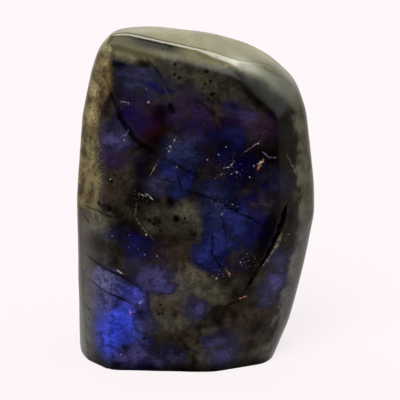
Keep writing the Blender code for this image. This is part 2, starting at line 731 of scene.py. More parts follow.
def in_stone(graph: Graph) -> Socket:
    """Returns the place on the stone, in mm."""
    return graph.scaled(graph.node("ShaderNodeTexCoord").outputs["Object"], MM_PER_METRE)


def bumped(graph: Graph, height: Value) -> Socket:
    """Returns the normal of a surface with bumps of this height, in mm."""
    bump = graph.node("ShaderNodeBump", None, {"Strength": 1.0, "Distance": MM, "Height": height})
    return bump.outputs[0]


# ---------------------------------------------------------------- what is inside the stone


class Tint(Enum):
    """The stone's colours, as linear red, green and blue."""

    # Flash.
    NAVY = (0.003, 0.002, 0.014)
    INDIGO = (0.002, 0.001, 0.035)
    ROYAL = (0.007, 0.010, 0.056)
    COBALT = (0.010, 0.014, 0.090)
    AZURE = (0.016, 0.020, 0.066)
    LAZULI = (0.040, 0.044, 0.195)
    BRIGHT = (0.024, 0.040, 0.420)
    SLATE = (0.013, 0.014, 0.034)
    STEEL = (0.050, 0.050, 0.150)
    PERIWINKLE = (0.098, 0.098, 0.230)
    VIOLET = (0.042, 0.035, 0.112)
    DUSK = (0.024, 0.022, 0.052)
    PURPLE = (0.009, 0.004, 0.027)
    PLUM = (0.020, 0.009, 0.034)
    MAUVE = (0.028, 0.013, 0.028)

    # The stone's own colours; some of them also stand in for light: painted reflection on the brow, the
    # corner and the low rims, a painted highlight at the corner, and a partly painted dark reflection under
    # the ridge.
    BLACK = (0.0015, 0.0010, 0.0015)
    PEAT = (0.006, 0.004, 0.003)
    WINE = (0.010, 0.0015, 0.002)
    ROSE = (0.036, 0.019, 0.016)
    DARK_OLIVE = (0.011, 0.009, 0.004)
    UMBER = (0.023, 0.015, 0.010)
    DIM = (0.020, 0.017, 0.012)
    OLIVE = (0.040, 0.034, 0.022)
    ASH = (0.056, 0.050, 0.034)
    TAUPE = (0.052, 0.043, 0.039)
    HEATHER = (0.026, 0.020, 0.024)
    DARK_BAND = (0.056, 0.048, 0.028)
    BAND = (0.104, 0.098, 0.064)
    BEIGE = (0.190, 0.171, 0.088)
    PALE_BEIGE = (0.242, 0.222, 0.118)
    SAGE = (0.142, 0.150, 0.104)
    DARK_SAGE = (0.088, 0.089, 0.062)
    FAWN = (0.098, 0.086, 0.038)
    PALE_FAWN = (0.140, 0.124, 0.066)
    # A painted highlight at the corner end of the ridge.
    HIGHLIGHT_PEARL = (0.340, 0.345, 0.262)
    TAWNY = (0.170, 0.140, 0.082)
    BRONZE = (0.048, 0.035, 0.014)
    GOLD = (0.172, 0.138, 0.062)
    MIST = (0.074, 0.080, 0.070)
    LILAC_GREY = (0.118, 0.112, 0.112)
    DARK_LILAC_GREY = (0.074, 0.066, 0.066)
    # The dark line under the ridge: partly the stone's own colour, partly a painted dark reflection.
    DARK_UNDER_RIDGE = (0.012, 0.012, 0.006)

    # What takes light away, as the share of each colour that it leaves.
    SHADE_BLACK = (0.05, 0.04, 0.06)
    SHADE_BROWN = (0.42, 0.26, 0.16)
    SHADE_OLIVE = (0.30, 0.26, 0.12)
    SHADE_TEAL = (0.16, 0.20, 0.22)
    SHADE_DEEP = (0.36, 0.30, 0.46)
    # Painted shade along the sawn base.
    SHADE_ALONG_BASE = (0.22, 0.19, 0.16)
    SHADE_NONE = (1.0, 1.0, 1.0)

    # What adds light.
    DARK = (0.0, 0.0, 0.0)
    CHALK = (0.300, 0.280, 0.240)
    AMBER = (0.450, 0.360, 0.170)
    COPPER = (0.340, 0.150, 0.070)
    SANDY = (0.130, 0.098, 0.060)
    LILAC = (0.100, 0.070, 0.110)


def within(x: float, z: float, y: float | None) -> Point:
    """Returns a place in the stone, in mm; without a depth it lies on the front face."""
    if y is None:
        front = FLATS["front"]
        outward = front.facing()
        level = front.point(STONE_SIZE).dot(outward) * MM_PER_METRE
        y = (level - x * outward.x - z * outward.z) / outward.y
    return (x, y, z)


@dataclass(frozen=True)
class Patch:
    """A body of one colour inside the stone: an ellipsoid that the front face cuts.

    Attributes:
        tint: Its colour.
        x: Its middle, to the right of the stone's middle, in mm.
        z: Its middle, above the base, in mm.
        long: Its whole length, in mm.
        wide: Its whole width, in mm.
        turn: How far its long side rises to the right, in degrees.
        strength: How strongly it shows, from 0 to 1.
        y: Its middle's depth in mm, or nothing for the front face.
        deep: How far it reaches into the stone, in mm.
        soft: The share of its radius over which its edge fades.
    """

    tint: Tint
    x: float
    z: float
    long: float
    wide: float
    turn: float = 0.0
    strength: float = 1.0
    y: float | None = None
    deep: float = 17.0
    soft: float = 1.5

    def middle(self) -> Point:
        """Returns its middle, in mm."""
        return within(self.x, self.z, self.y)


# How much longer a seam's patch is than the line it draws, because it thins out at both ends.
SEAM_STRETCH = 1.08


def seam(
    tint: Tint,
    start: tuple[float, float],
    end: tuple[float, float],
    thick: float,
    strength: float,
    y: float | None = None,
    deep: float = 12.0,
) -> Patch:
    """Makes the patch of a seam that runs straight between two points of the front face.

    Args:
        tint: Its colour.
        start: Its start, as x and z in mm.
        end: Its end, as x and z in mm.
        thick: Its thickness in its middle, in mm.
        strength: How strongly it shows.
        y: Its middle's depth in mm, or nothing for the front face.
        deep: How far it reaches into the stone, in mm.

    Returns:
        The long, thin patch.
    """
    run, rise = end[0] - start[0], end[1] - start[1]
    return Patch(
        tint,
        (start[0] + end[0]) / 2,
        (start[1] + end[1]) / 2,
        math.hypot(run, rise) * SEAM_STRETCH,
        thick,
        math.degrees(math.atan2(rise, run)),
        strength,
        y,
        deep,
        soft=1.0,
    )


# Clouds and zones of the stone's own colour, from the first laid to the last.
ZONES: Sequence[Patch] = (
    # upper part
    Patch(Tint.OLIVE, -4.0, 101.5, 20, 7, -20, 0.55),
    Patch(Tint.OLIVE, 5.5, 98.5, 14, 9, -30, 0.55),
    Patch(Tint.DIM, 13.0, 93.5, 12, 6, -30, 0.8),
    Patch(Tint.PEAT, -24.0, 97.5, 6, 14, 10, 0.9),
    Patch(Tint.UMBER, -17.0, 91.5, 12, 3, 5, 0.7),
    Patch(Tint.UMBER, -28.5, 90.0, 5, 7, 0, 0.8, -9.5),
    Patch(Tint.WINE, -13.0, 88.0, 8, 7, 0, 0.9),
    Patch(Tint.WINE, -13.5, 81.5, 10, 10, 30, 0.9),
    Patch(Tint.BLACK, -9.5, 88.5, 4, 5, 35, 0.7),
    Patch(Tint.ROSE, 7.2, 87.0, 3.4, 7, -8, 0.9),
    Patch(Tint.WINE, 9.8, 83.5, 6, 8, -40, 0.9),
    Patch(Tint.PEAT, 3.0, 76.5, 12, 8, 0, 0.9),
    Patch(Tint.BLACK, 0.5, 79.5, 4, 3, 0, 0.7),
    Patch(Tint.PEAT, 27.0, 84.0, 9, 16, -10, 0.9, -12.0),
    # middle
    Patch(Tint.DIM, -23.5, 69.0, 8, 10, 10, 0.9),
    Patch(Tint.UMBER, -29.5, 63.0, 6, 13, 0, 0.9),
    Patch(Tint.DIM, -22.5, 60.5, 8, 9, 0, 0.8),
    Patch(Tint.BLACK, -19.0, 63.0, 4, 16, -8, 0.8),
    Patch(Tint.PEAT, -17.5, 56.0, 6, 9, 0, 0.8),
    Patch(Tint.PEAT, 25.5, 76.0, 10, 8, 0, 0.8),
    Patch(Tint.UMBER, 24.0, 70.5, 7, 4, 0, 0.7),
    Patch(Tint.OLIVE, -9.5, 54.5, 16, 11, -10, 0.65),
    Patch(Tint.ASH, -1.5, 56.5, 8, 7, 10, 0.9),
    Patch(Tint.PEAT, -8.0, 58.5, 7, 4, 10, 0.7),
    Patch(Tint.ASH, -13.0, 51.5, 6, 5, -10, 0.6),
    Patch(Tint.ASH, 0.5, 53.0, 5, 7, 10, 0.6),
    Patch(Tint.PEAT, -12.5, 46.0, 12, 4, -10, 0.8),
    Patch(Tint.DIM, -2.5, 43.0, 6, 13, 0, 0.8),
    Patch(Tint.HEATHER, 21.0, 58.5, 12, 7, -25, 0.8),
    Patch(Tint.DIM, 15.5, 41.0, 6, 6, 0, 0.8),
    Patch(Tint.PEAT, 18.5, 42.5, 8, 10, -20, 0.8),
    # lower left
    Patch(Tint.BAND, -33.5, 50.5, 10, 9, 0, 0.7, -11.5),
    Patch(Tint.DARK_OLIVE, -30.5, 42.5, 12, 4.5, 0, 0.9, -13.5),
    Patch(Tint.PEAT, -17.0, 40.0, 20, 6, -10, 0.8),
    Patch(Tint.UMBER, -22.5, 37.0, 10, 4, -15, 0.9),
    Patch(Tint.HEATHER, -32.5, 39.0, 8, 4.5, -10, 0.9, -13.0),
    # lower middle, lower right and bottom
    Patch(Tint.UMBER, -7.5, 41.0, 14, 8, -10, 0.8),
    Patch(Tint.TAUPE, -4.0, 31.5, 12, 10, 0, 0.9),
    Patch(Tint.TAUPE, -14.0, 24.5, 11, 7, 0, 0.9),
    Patch(Tint.TAUPE, -8.5, 27.0, 9, 6, 0, 0.6),
    Patch(Tint.UMBER, -4.5, 12.5, 9, 5, 0, 0.8),
    Patch(Tint.OLIVE, -1.0, 33.0, 9, 8, -40, 0.6),
    Patch(Tint.ASH, 1.0, 32.0, 13, 6, -48, 0.9),
    Patch(Tint.ASH, 7.5, 27.0, 8, 6, -40, 0.8),
    Patch(Tint.DIM, 13.5, 30.5, 9, 7, 0, 0.8),
    Patch(Tint.OLIVE, -6.5, 21.0, 16, 12, 0, 0.8),
    Patch(Tint.ASH, -8.0, 17.0, 8, 5, 10, 0.5),
    Patch(Tint.UMBER, -12.0, 23.0, 8, 4, 0, 0.7),
    Patch(Tint.UMBER, 20.0, 19.0, 16, 16, 0, 0.9),
    Patch(Tint.DARK_OLIVE, 15.5, 24.0, 6, 5, 0, 0.8),
    Patch(Tint.PEAT, 19.0, 13.0, 5, 11, -25, 0.8),
    Patch(Tint.UMBER, 17.0, 9.0, 14, 12, 0, 0.8),
    Patch(Tint.OLIVE, 4.5, 14.5, 7, 3, 20, 0.6),
    Patch(Tint.ASH, 4.0, 7.0, 8, 8, 0, 0.8),
    Patch(Tint.ASH, 24.5, 4.5, 8, 5, 20, 0.8, -13.5),
    Patch(Tint.OLIVE, 23.0, 12.0, 5, 9, 0, 0.7),
    Patch(Tint.DARK_OLIVE, -12.5, 10.5, 14, 5, 5, 1.0),
)

# Spots in the pale rind of the crown: a painted highlight where the ridge meets the corner, and tawny stains.
RIND_STAINS_AND_HIGHLIGHT: Sequence[Patch] = (
    Patch(Tint.HIGHLIGHT_PEARL, 16.6, 104.2, 11.0, 4.2, -24, 1.0, -6.2, 5.0),
    Patch(Tint.TAWNY, 20.0, 105.5, 12.0, 3.0, -32, 0.6, 0.0, 8.0),
    Patch(Tint.TAWNY, 11.0, 109.0, 10.0, 3.0, -20, 0.5, 2.0, 8.0),
)

# The flash: domains that shine blue to violet.
FLASHES: Sequence[Patch] = (
    # upper left
    Patch(Tint.SLATE, -18.5, 99.8, 20, 13, -25, 1.0),
    Patch(Tint.DUSK, -19.0, 100.5, 10, 6, -20, 0.4),
    Patch(Tint.INDIGO, -14.0, 97.8, 5.5, 3.0, -10, 0.9),
    Patch(Tint.INDIGO, -9.8, 95.5, 5, 2.4, -5, 0.9),
    Patch(Tint.NAVY, -23.5, 89.0, 8, 9, 20, 0.9),
    Patch(Tint.PURPLE, -20.2, 87.0, 13, 12, -20, 1.0),
    Patch(Tint.INDIGO, -22.0, 86.5, 6, 8, 0, 0.5),
    Patch(Tint.DUSK, -28.5, 80.0, 12, 10, 20, 0.8),
    Patch(Tint.VIOLET, -26.5, 78.5, 8, 5, 0, 0.5),
    Patch(Tint.PLUM, -28.0, 73.0, 10, 6, 0, 0.9),
    # upper middle and right
    Patch(Tint.SLATE, -1.5, 95.5, 10, 5, -20, 0.6),
    Patch(Tint.PLUM, -4.0, 89.5, 10, 9, 0, 0.9),
    Patch(Tint.PURPLE, 1.5, 83.5, 11, 12, -10, 1.0),
    Patch(Tint.PLUM, 2.5, 89.0, 6, 6, 0, 0.6),
    Patch(Tint.PURPLE, 13.5, 88.0, 8, 10, 0, 1.0),
    Patch(Tint.AZURE, 13.5, 90.5, 9, 4, -20, 0.4),
    Patch(Tint.MAUVE, 21.5, 84.5, 13, 9, -30, 1.0),
    Patch(Tint.VIOLET, 17.0, 88.5, 7, 4, -25, 0.4),
    Patch(Tint.PURPLE, 26.5, 89.0, 5, 5, 0, 0.7),
    # middle
    Patch(Tint.AZURE, -4.0, 75.5, 12, 9, -20, 1.0),
    Patch(Tint.DUSK, -1.5, 80.0, 9, 5, 0, 0.5),
    Patch(Tint.ROYAL, -8.0, 69.3, 10, 7.5, -25, 1.0),
    Patch(Tint.COBALT, -8.3, 69.5, 5, 4.5, -25, 0.6),
    Patch(Tint.ROYAL, -2.4, 66.5, 5, 6, 0, 1.0),
    Patch(Tint.DUSK, -12.2, 64.8, 9, 6, 0, 1.0),
    Patch(Tint.ROYAL, -6.0, 62.5, 7, 5, -20, 0.9),
    Patch(Tint.NAVY, -17.0, 71.5, 6, 8, 0, 1.0),
    Patch(Tint.ROYAL, 10.5, 82.0, 9, 5, 20, 0.6),
    Patch(Tint.ROYAL, 14.5, 80.0, 5, 8, 0, 0.9),
    Patch(Tint.INDIGO, 14.0, 73.0, 12, 10, 0, 0.9),
    Patch(Tint.NAVY, 7.5, 71.0, 6, 9, 0, 0.7),
    Patch(Tint.ROYAL, 9.5, 75.5, 5, 5, 0, 0.6),
    Patch(Tint.DUSK, 26.5, 67.0, 12, 9, -30, 0.7),
    Patch(Tint.ROYAL, 12.0, 66.5, 8, 6, 0, 0.5),
    Patch(Tint.AZURE, 7.0, 62.5, 9, 8, -20, 0.75),
    Patch(Tint.INDIGO, 23.5, 65.0, 3, 2.4, 0, 0.8),
    Patch(Tint.INDIGO, 19.9, 61.2, 3.5, 6, -45, 0.9),
    # the big domain
    Patch(Tint.PURPLE, 20.0, 53.0, 14, 14, 0, 0.5),
    Patch(Tint.AZURE, 9.0, 55.5, 14, 7, -20, 0.8),
    Patch(Tint.ROYAL, 12.5, 51.5, 16, 16, 0, 1.0),
    Patch(Tint.COBALT, 14.0, 53.5, 8, 9, 20, 0.6),
    Patch(Tint.COBALT, 8.5, 45.0, 9, 7, 0, 0.8),
    Patch(Tint.COBALT, 3.8, 42.0, 7, 9, -25, 1.0),
    Patch(Tint.ROYAL, 7.5, 37.5, 5, 7, -30, 0.9),
    Patch(Tint.PURPLE, 13.0, 38.0, 8, 6, 0, 0.6),
    Patch(Tint.INDIGO, 21.0, 48.5, 8, 10, 0, 0.5),
    # left
    Patch(Tint.SLATE, -28.5, 47.5, 9, 5, 0, 0.8, -14.5),
    Patch(Tint.NAVY, -23.0, 45.8, 13, 6, -10, 1.0),
    Patch(Tint.INDIGO, -18.5, 45.5, 7, 5, -10, 0.7),
    Patch(Tint.ROYAL, -20.0, 42.5, 7, 6, 20, 0.7),
    Patch(Tint.NAVY, -12.0, 42.0, 9, 5, 0, 0.6),
    Patch(Tint.PERIWINKLE, -31.5, 31.0, 10, 8, 0, 0.9, -14.5),
    Patch(Tint.LAZULI, -22.0, 27.5, 10, 7.5, -20, 1.0),
    Patch(Tint.BRIGHT, -21.5, 27.0, 7, 5.5, -20, 0.40),
    Patch(Tint.STEEL, -26.5, 30.5, 4, 5, 0, 0.7),
    Patch(Tint.DUSK, -15.5, 35.5, 14, 7, -15, 0.9),
    Patch(Tint.VIOLET, -13.5, 31.5, 11, 8, -20, 0.8),
    Patch(Tint.LAZULI, -10.4, 29.6, 4, 4, 0, 0.4),
    # the bright domain, low at the left
    Patch(Tint.STEEL, -31.5, 23.5, 11, 10, 0, 0.8, -15.0),
    Patch(Tint.LAZULI, -27.0, 14.0, 18, 20, 10, 1.0),
    Patch(Tint.BRIGHT, -25.0, 19.5, 8, 8, 0, 0.65),
    Patch(Tint.BRIGHT, -27.5, 14.0, 13, 10, 0, 1.0),
    Patch(Tint.BRIGHT, -30.0, 9.0, 6.5, 8, 0, 1.0),
    Patch(Tint.VIOLET, -22.5, 5.5, 11, 7, 10, 1.0),
    Patch(Tint.DUSK, -15.5, 16.0, 7, 5, 0, 0.8),
    # bottom
    Patch(Tint.ROYAL, -17.0, 2.5, 6, 4, 0, 0.8),
    Patch(Tint.VIOLET, -13.6, 3.2, 5, 3.4, 0, 0.9),
    Patch(Tint.DUSK, -8.5, 5.8, 10, 7, -10, 0.9),
    Patch(Tint.DUSK, -0.5, 22.5, 8, 9, 0, 0.7),
    Patch(Tint.VIOLET, 0.8, 21.8, 3.5, 5, 0, 0.5),
    Patch(Tint.DUSK, 9.5, 8.5, 11, 13, 0, 0.75),
    Patch(Tint.VIOLET, 10.5, 5.5, 6, 4, 0, 0.6),
    Patch(Tint.VIOLET, 6.0, 11.0, 6, 3, -20, 0.5),
    # right edge
    Patch(Tint.DUSK, 25.0, 25.5, 8, 9, 0, 0.9),
    Patch(Tint.VIOLET, 28.5, 31.5, 9, 7, 20, 1.0),
    Patch(Tint.DUSK, 28.5, 38.8, 9, 8, 10, 0.9),
)

# Dark seams, cleavage lines and stains, and painted shade beside the fissure; each takes away its share of
# the light.
DARK_SEAMS_AND_SHADE: Sequence[Patch] = (
    # the crown's corner
    Patch(Tint.SHADE_TEAL, 16.5, 97.5, 11, 3.6, -38, 0.75, -10.0, 6.0),
    Patch(Tint.SHADE_TEAL, 21.5, 93.6, 13, 5.4, -44, 1.0, -10.0, 6.0),
    Patch(Tint.SHADE_BLACK, 22.0, 91.5, 9, 3.6, -40, 0.6, -11.5, 6.0),
    Patch(Tint.SHADE_OLIVE, 27.0, 89.5, 9, 4.5, -40, 0.9, -10.5, 6.0),
    seam(Tint.SHADE_OLIVE, (22.5, 103.0), (28.5, 99.8), 1.0, 0.5, -3.5, 5.0),
    # top left
    seam(Tint.SHADE_BLACK, (-19.4, 105.2), (-14.4, 104.6), 2.6, 0.9),
    seam(Tint.SHADE_BLACK, (-15.5, 106.3), (-11.8, 101.6), 0.9, 0.6),
    seam(Tint.SHADE_BLACK, (-12.3, 102.3), (-8.6, 95.8), 0.6, 0.5),
    seam(Tint.SHADE_BROWN, (-30.6, 101.5), (-28.6, 97.3), 1.2, 0.6, -9.0),
    seam(Tint.SHADE_BROWN, (-29.2, 98.2), (-27.0, 92.2), 1.1, 0.9, -9.5),
    seam(Tint.SHADE_BLACK, (-26.6, 92.6), (-24.4, 85.5), 1.7, 0.8, -10.5),
    seam(Tint.SHADE_BLACK, (-25.4, 87.6), (-20.0, 79.6), 2.0, 0.85),
    seam(Tint.SHADE_BLACK, (-21.0, 80.6), (-14.0, 75.6), 1.8, 0.75),
    Patch(Tint.SHADE_BROWN, -34.0, 82.0, 6, 5, 0, 0.7, -8.5),
    Patch(Tint.SHADE_BROWN, -33.0, 72.0, 3, 5, 0, 0.6, -9.5),
    Patch(Tint.SHADE_BROWN, -36.8, 58.6, 5, 4, 0, 0.6, -7.0),
    Patch(Tint.SHADE_BROWN, -30.8, 91.8, 4.6, 9, -10, 0.8, -9.2, 7.0),
    Patch(Tint.SHADE_OLIVE, -27.6, 101.5, 2.0, 12, 0, 0.7, -8.6, 7.0),
    seam(Tint.SHADE_BROWN, (-34.5, 94.0), (-29.5, 87.5), 1.2, 0.6, -8.0),
    # upper right
    seam(Tint.SHADE_OLIVE, (17.0, 97.0), (22.5, 92.8), 0.7, 0.8),
    seam(Tint.SHADE_OLIVE, (22.0, 93.2), (27.5, 89.5), 0.8, 0.8),
    seam(Tint.SHADE_BLACK, (1.5, 92.5), (9.5, 86.0), 1.0, 0.6),
    seam(Tint.SHADE_BLACK, (5.5, 90.3), (7.8, 82.5), 0.9, 0.6),
    # middle
    seam(Tint.SHADE_BLACK, (-8.3, 72.7), (-0.8, 68.6), 0.9, 0.8),
    seam(Tint.SHADE_BLACK, (-1.8, 69.4), (3.0, 66.0), 0.8, 0.6),
    seam(Tint.SHADE_BLACK, (-5.8, 68.2), (-4.8, 63.2), 0.7, 0.8),
    seam(Tint.SHADE_BLACK, (-11.5, 66.8), (-5.5, 65.2), 0.7, 0.6),
    seam(Tint.SHADE_BLACK, (-2.4, 62.8), (6.4, 60.0), 0.9, 0.9),
    seam(Tint.SHADE_BLACK, (5.3, 60.8), (14.0, 55.9), 0.8, 0.9),
    seam(Tint.SHADE_BLACK, (12.8, 56.8), (23.5, 51.2), 0.8, 0.8),
    seam(Tint.SHADE_BLACK, (9.1, 55.4), (10.6, 45.6), 0.6, 0.7),
    seam(Tint.SHADE_BLACK, (5.8, 48.6), (5.9, 40.8), 0.8, 0.7),
    seam(Tint.SHADE_BLACK, (5.8, 41.6), (9.2, 35.8), 0.9, 0.7),
    # Painted shade down the left wall of the fissure.
    Patch(Tint.SHADE_BLACK, 24.5, 49.5, 5, 18, -22, 0.85, soft=1.0),
    seam(Tint.SHADE_BLACK, (21.6, 36.6), (17.2, 29.4), 1.6, 0.85),
    Patch(Tint.SHADE_DEEP, 14.0, 72.0, 30, 26, 0, 0.95),
    Patch(Tint.SHADE_DEEP, 17.0, 66.5, 12, 9, 0, 0.8),
    Patch(Tint.SHADE_BLACK, 28.6, 80.0, 9, 26, -4, 0.6, -13.0),
    Patch(Tint.SHADE_BLACK, -16.0, 71.0, 6, 10, 10, 0.7),
    Patch(Tint.SHADE_BLACK, -12.0, 50.8, 5, 4, 0, 0.7),
    Patch(Tint.SHADE_BLACK, -27.6, 50.6, 6, 4, 0, 0.7),
    Patch(Tint.SHADE_BROWN, -34.6, 43.6, 7, 7, 0, 0.8, -9.0, 9.0),
    Patch(Tint.SHADE_BLACK, 0.0, 60.0, 7, 3, -20, 0.6),
    # left
    seam(Tint.SHADE_BROWN, (-38.5, 55.6), (-32.0, 54.8), 0.9, 0.9, -9.0),
    seam(Tint.SHADE_OLIVE, (-33.4, 55.4), (-27.4, 53.2), 1.2, 0.9, -12.5),
    seam(Tint.SHADE_BLACK, (-38.4, 52.0), (-36.4, 49.4), 1.2, 0.7, -7.0),
    seam(Tint.SHADE_BLACK, (-37.5, 38.2), (-31.4, 35.6), 0.9, 0.9, -12.0),
    seam(Tint.SHADE_BLACK, (-32.4, 36.4), (-25.0, 33.3), 1.0, 0.9, -15.5),
    seam(Tint.SHADE_BROWN, (-25.7, 34.1), (-17.4, 28.0), 1.2, 0.6),
    seam(Tint.SHADE_BLACK, (-36.5, 29.8), (-31.0, 27.5), 0.8, 0.8, -13.0),
    seam(Tint.SHADE_BLACK, (-31.8, 28.1), (-21.6, 23.8), 0.9, 0.85),
    seam(Tint.SHADE_BLACK, (-28.3, 34.0), (-28.9, 27.0), 0.5, 0.5),
    seam(Tint.SHADE_BROWN, (-20.0, 23.0), (-16.5, 17.0), 2.5, 0.6),
    # bottom
    seam(Tint.SHADE_BROWN, (9.4, 23.4), (13.8, 24.9), 1.3, 0.9),
    seam(Tint.SHADE_BLACK, (13.2, 24.6), (17.4, 27.0), 1.0, 0.7),
    seam(Tint.SHADE_BLACK, (14.0, 22.5), (24.0, 12.0), 1.2, 0.4),
    # short dark spots and stains, all over
    Patch(Tint.SHADE_BLACK, 13.0, 91.2, 3.4, 2.0, -20, 0.6),
    Patch(Tint.SHADE_BLACK, -25.3, 104.5, 4.5, 2.6, -10, 0.8),
    Patch(Tint.SHADE_BROWN, 32.0, 78.0, 2.8, 2.4, 0, 0.9, -10.5, soft=1.0),
    Patch(Tint.SHADE_OLIVE, 30.5, 76.0, 5.0, 12.0, 0, 0.6, -11.5, soft=1.0),
    Patch(Tint.SHADE_BROWN, 31.2, 72.0, 2.4, 2.0, 0, 0.8, -12.0, soft=1.0),
    Patch(Tint.SHADE_BROWN, 33.2, 57.2, 3.0, 2.0, 30, 0.8, -13.0, soft=1.0),
    Patch(Tint.SHADE_TEAL, 32.4, 54.4, 4.0, 2.4, 30, 0.7, -13.5),
    Patch(Tint.SHADE_BLACK, -24.0, 9.4, 6.0, 6.5, 0, 0.6),
    Patch(Tint.SHADE_BLACK, -11.5, 88.3, 5.0, 5.0, 0, 0.6),
    Patch(Tint.SHADE_BLACK, -13.5, 77.5, 9.0, 9.0, 20, 0.6),
    Patch(Tint.SHADE_BLACK, -18.5, 60.0, 11.0, 8.0, 0, 0.5),
    Patch(Tint.SHADE_BLACK, -10.5, 7.5, 13.0, 5.0, 0, 0.5),
    Patch(Tint.SHADE_BLACK, 22.5, 13.0, 6.0, 9.0, 0, 0.5),
    Patch(Tint.SHADE_BLACK, -20.0, 2.5, 24.0, 4.0, 0, 0.4),
    Patch(Tint.SHADE_BLACK, -24.3, 8.0, 2.2, 1.8, 0, 0.6),
    Patch(Tint.SHADE_BROWN, 19.3, 23.4, 4.0, 3.4, 0, 0.8),
    Patch(Tint.SHADE_BLACK, 19.2, 8.4, 2.4, 4.0, -30, 0.75),
    Patch(Tint.SHADE_BLACK, 21.1, 14.2, 2.2, 5.0, -30, 0.7),
    Patch(Tint.SHADE_BROWN, 8.6, 17.8, 3.0, 2.4, 0, 0.7),
    Patch(Tint.SHADE_BLACK, 1.2, 16.0, 4.5, 2.6, 10, 0.8),
    Patch(Tint.SHADE_BLACK, -30.2, 56.6, 4.2, 2.4, -20, 1.0, -13.3, soft=0.8),
    Patch(Tint.SHADE_BLACK, -32.5, 57.5, 1.8, 2.2, 0, 0.9, -12.3, soft=0.8),
    Patch(Tint.SHADE_BLACK, -15.5, 52.6, 2.0, 1.4, 0, 0.9),
    Patch(Tint.SHADE_BLACK, -12.6, 52.6, 2.6, 2.2, 30, 0.9),
    Patch(Tint.SHADE_BLACK, -6.3, 53.4, 2.4, 2.2, 0, 1.0),
    Patch(Tint.SHADE_BLACK, -8.4, 59.4, 2.6, 3.4, 20, 0.9),
    Patch(Tint.SHADE_BLACK, -15.5, 59.5, 5.0, 2.4, 0, 0.8),
    Patch(Tint.SHADE_BLACK, -8.0, 90.4, 2.6, 3.0, 30, 0.9),
)

# Lights: lines and crusts on cleavage faces that catch the light.
LIGHTS: Sequence[Patch] = (
    # the thin left edge
    Patch(Tint.AMBER, -33.8, 95.3, 3.4, 4.6, 10, 0.40, -7.6, 5),
    Patch(Tint.AMBER, -34.6, 87.2, 4.0, 7.0, -10, 0.42, -7.8, 5),
    Patch(Tint.AMBER, -35.4, 73.0, 3.0, 9.0, 4, 0.14, -7.6, 5),
    Patch(Tint.AMBER, -32.6, 66.0, 2.4, 7.0, 4, 0.14, -10.4, 5),
    Patch(Tint.AMBER, -32.2, 101.5, 3.0, 6.0, 0, 0.16, -8.0, 5),
    Patch(Tint.AMBER, -28.5, 110.0, 1.6, 2.4, 20, 0.35, -6.8, 5, soft=1.2),
    Patch(Tint.AMBER, -29.5, 104.8, 1.2, 1.4, 10, 0.30, -8.0, 5, soft=1.2),
    # the walls of the fissure
    seam(Tint.SANDY, (29.0, 48.6), (28.2, 45.4), 1.3, 1.0),
    seam(Tint.SANDY, (28.4, 46.6), (26.8, 42.6), 1.7, 1.0),
    seam(Tint.SANDY, (26.8, 43.4), (25.4, 40.4), 0.9, 0.9),
    seam(Tint.SANDY, (24.8, 39.8), (23.2, 37.2), 1.2, 0.9),
    # thin lines
    seam(Tint.LILAC, (16.6, 76.2), (21.4, 79.6), 0.45, 1.0),
    seam(Tint.CHALK, (9.6, 70.6), (11.6, 71.1), 0.4, 0.7),
    seam(Tint.CHALK, (11.3, 70.9), (12.8, 72.8), 0.4, 0.7),
    seam(Tint.LILAC, (22.4, 76.3), (24.8, 74.4), 0.45, 1.0),
    seam(Tint.LILAC, (24.5, 74.5), (27.0, 74.3), 0.45, 1.0),
    seam(Tint.SANDY, (6.8, 67.2), (9.4, 69.0), 0.4, 0.9),
    seam(Tint.SANDY, (30.8, 74.8), (32.2, 71.6), 0.5, 0.7, -12.0),
    seam(Tint.SANDY, (32.0, 72.0), (34.0, 68.0), 0.5, 0.8, -10.8),
    seam(Tint.SANDY, (-6.7, 80.4), (-9.0, 75.2), 0.4, 0.6),
    seam(Tint.SANDY, (-12.4, 72.6), (-15.2, 68.0), 0.4, 0.8),
    seam(Tint.LILAC, (-22.4, 83.6), (-22.9, 81.2), 0.4, 0.9),
    seam(Tint.LILAC, (-22.8, 81.4), (-24.6, 80.8), 0.4, 0.9),
    seam(Tint.SANDY, (-19.8, 58.0), (-20.5, 53.9), 0.4, 0.5),
    seam(Tint.SANDY, (-20.4, 54.0), (-18.8, 51.0), 0.4, 0.5),
    seam(Tint.SANDY, (-18.9, 51.5), (-14.8, 46.6), 0.4, 0.6),
    seam(Tint.CHALK, (-27.0, 35.3), (-24.9, 34.2), 0.6, 0.9),
    seam(Tint.SANDY, (30.4, 24.7), (32.6, 24.4), 0.5, 0.9, -10.8),
    # crusts
    seam(Tint.COPPER, (20.9, 70.4), (22.6, 73.6), 1.0, 0.8),
    seam(Tint.CHALK, (20.8, 72.2), (22.9, 72.9), 0.5, 0.8),
    seam(Tint.COPPER, (15.0, 26.1), (17.2, 26.8), 0.6, 0.8),
    seam(Tint.COPPER, (10.6, 35.8), (12.0, 33.8), 0.7, 0.6),
    seam(Tint.COPPER, (-22.6, 21.8), (-22.1, 19.8), 0.5, 0.6),
    seam(Tint.COPPER, (10.0, 104.3), (10.9, 103.8), 0.7, 0.4, -8.3),
    seam(Tint.CHALK, (-18.8, 61.8), (-16.6, 60.9), 0.4, 0.7),
    seam(Tint.CHALK, (-16.4, 61.7), (-14.4, 59.9), 0.5, 0.9),
    seam(Tint.CHALK, (-24.6, 92.4), (-22.2, 92.2), 0.45, 0.8),
)


@dataclass(frozen=True)
class Speck:
    """A small grain or glint: its place and its width, in mm; without a depth it is on the front face."""

    x: float
    z: float
    wide: float
    y: float | None = None

    def middle(self) -> Point:
        """Returns its middle, in mm."""
        return within(self.x, self.z, self.y)


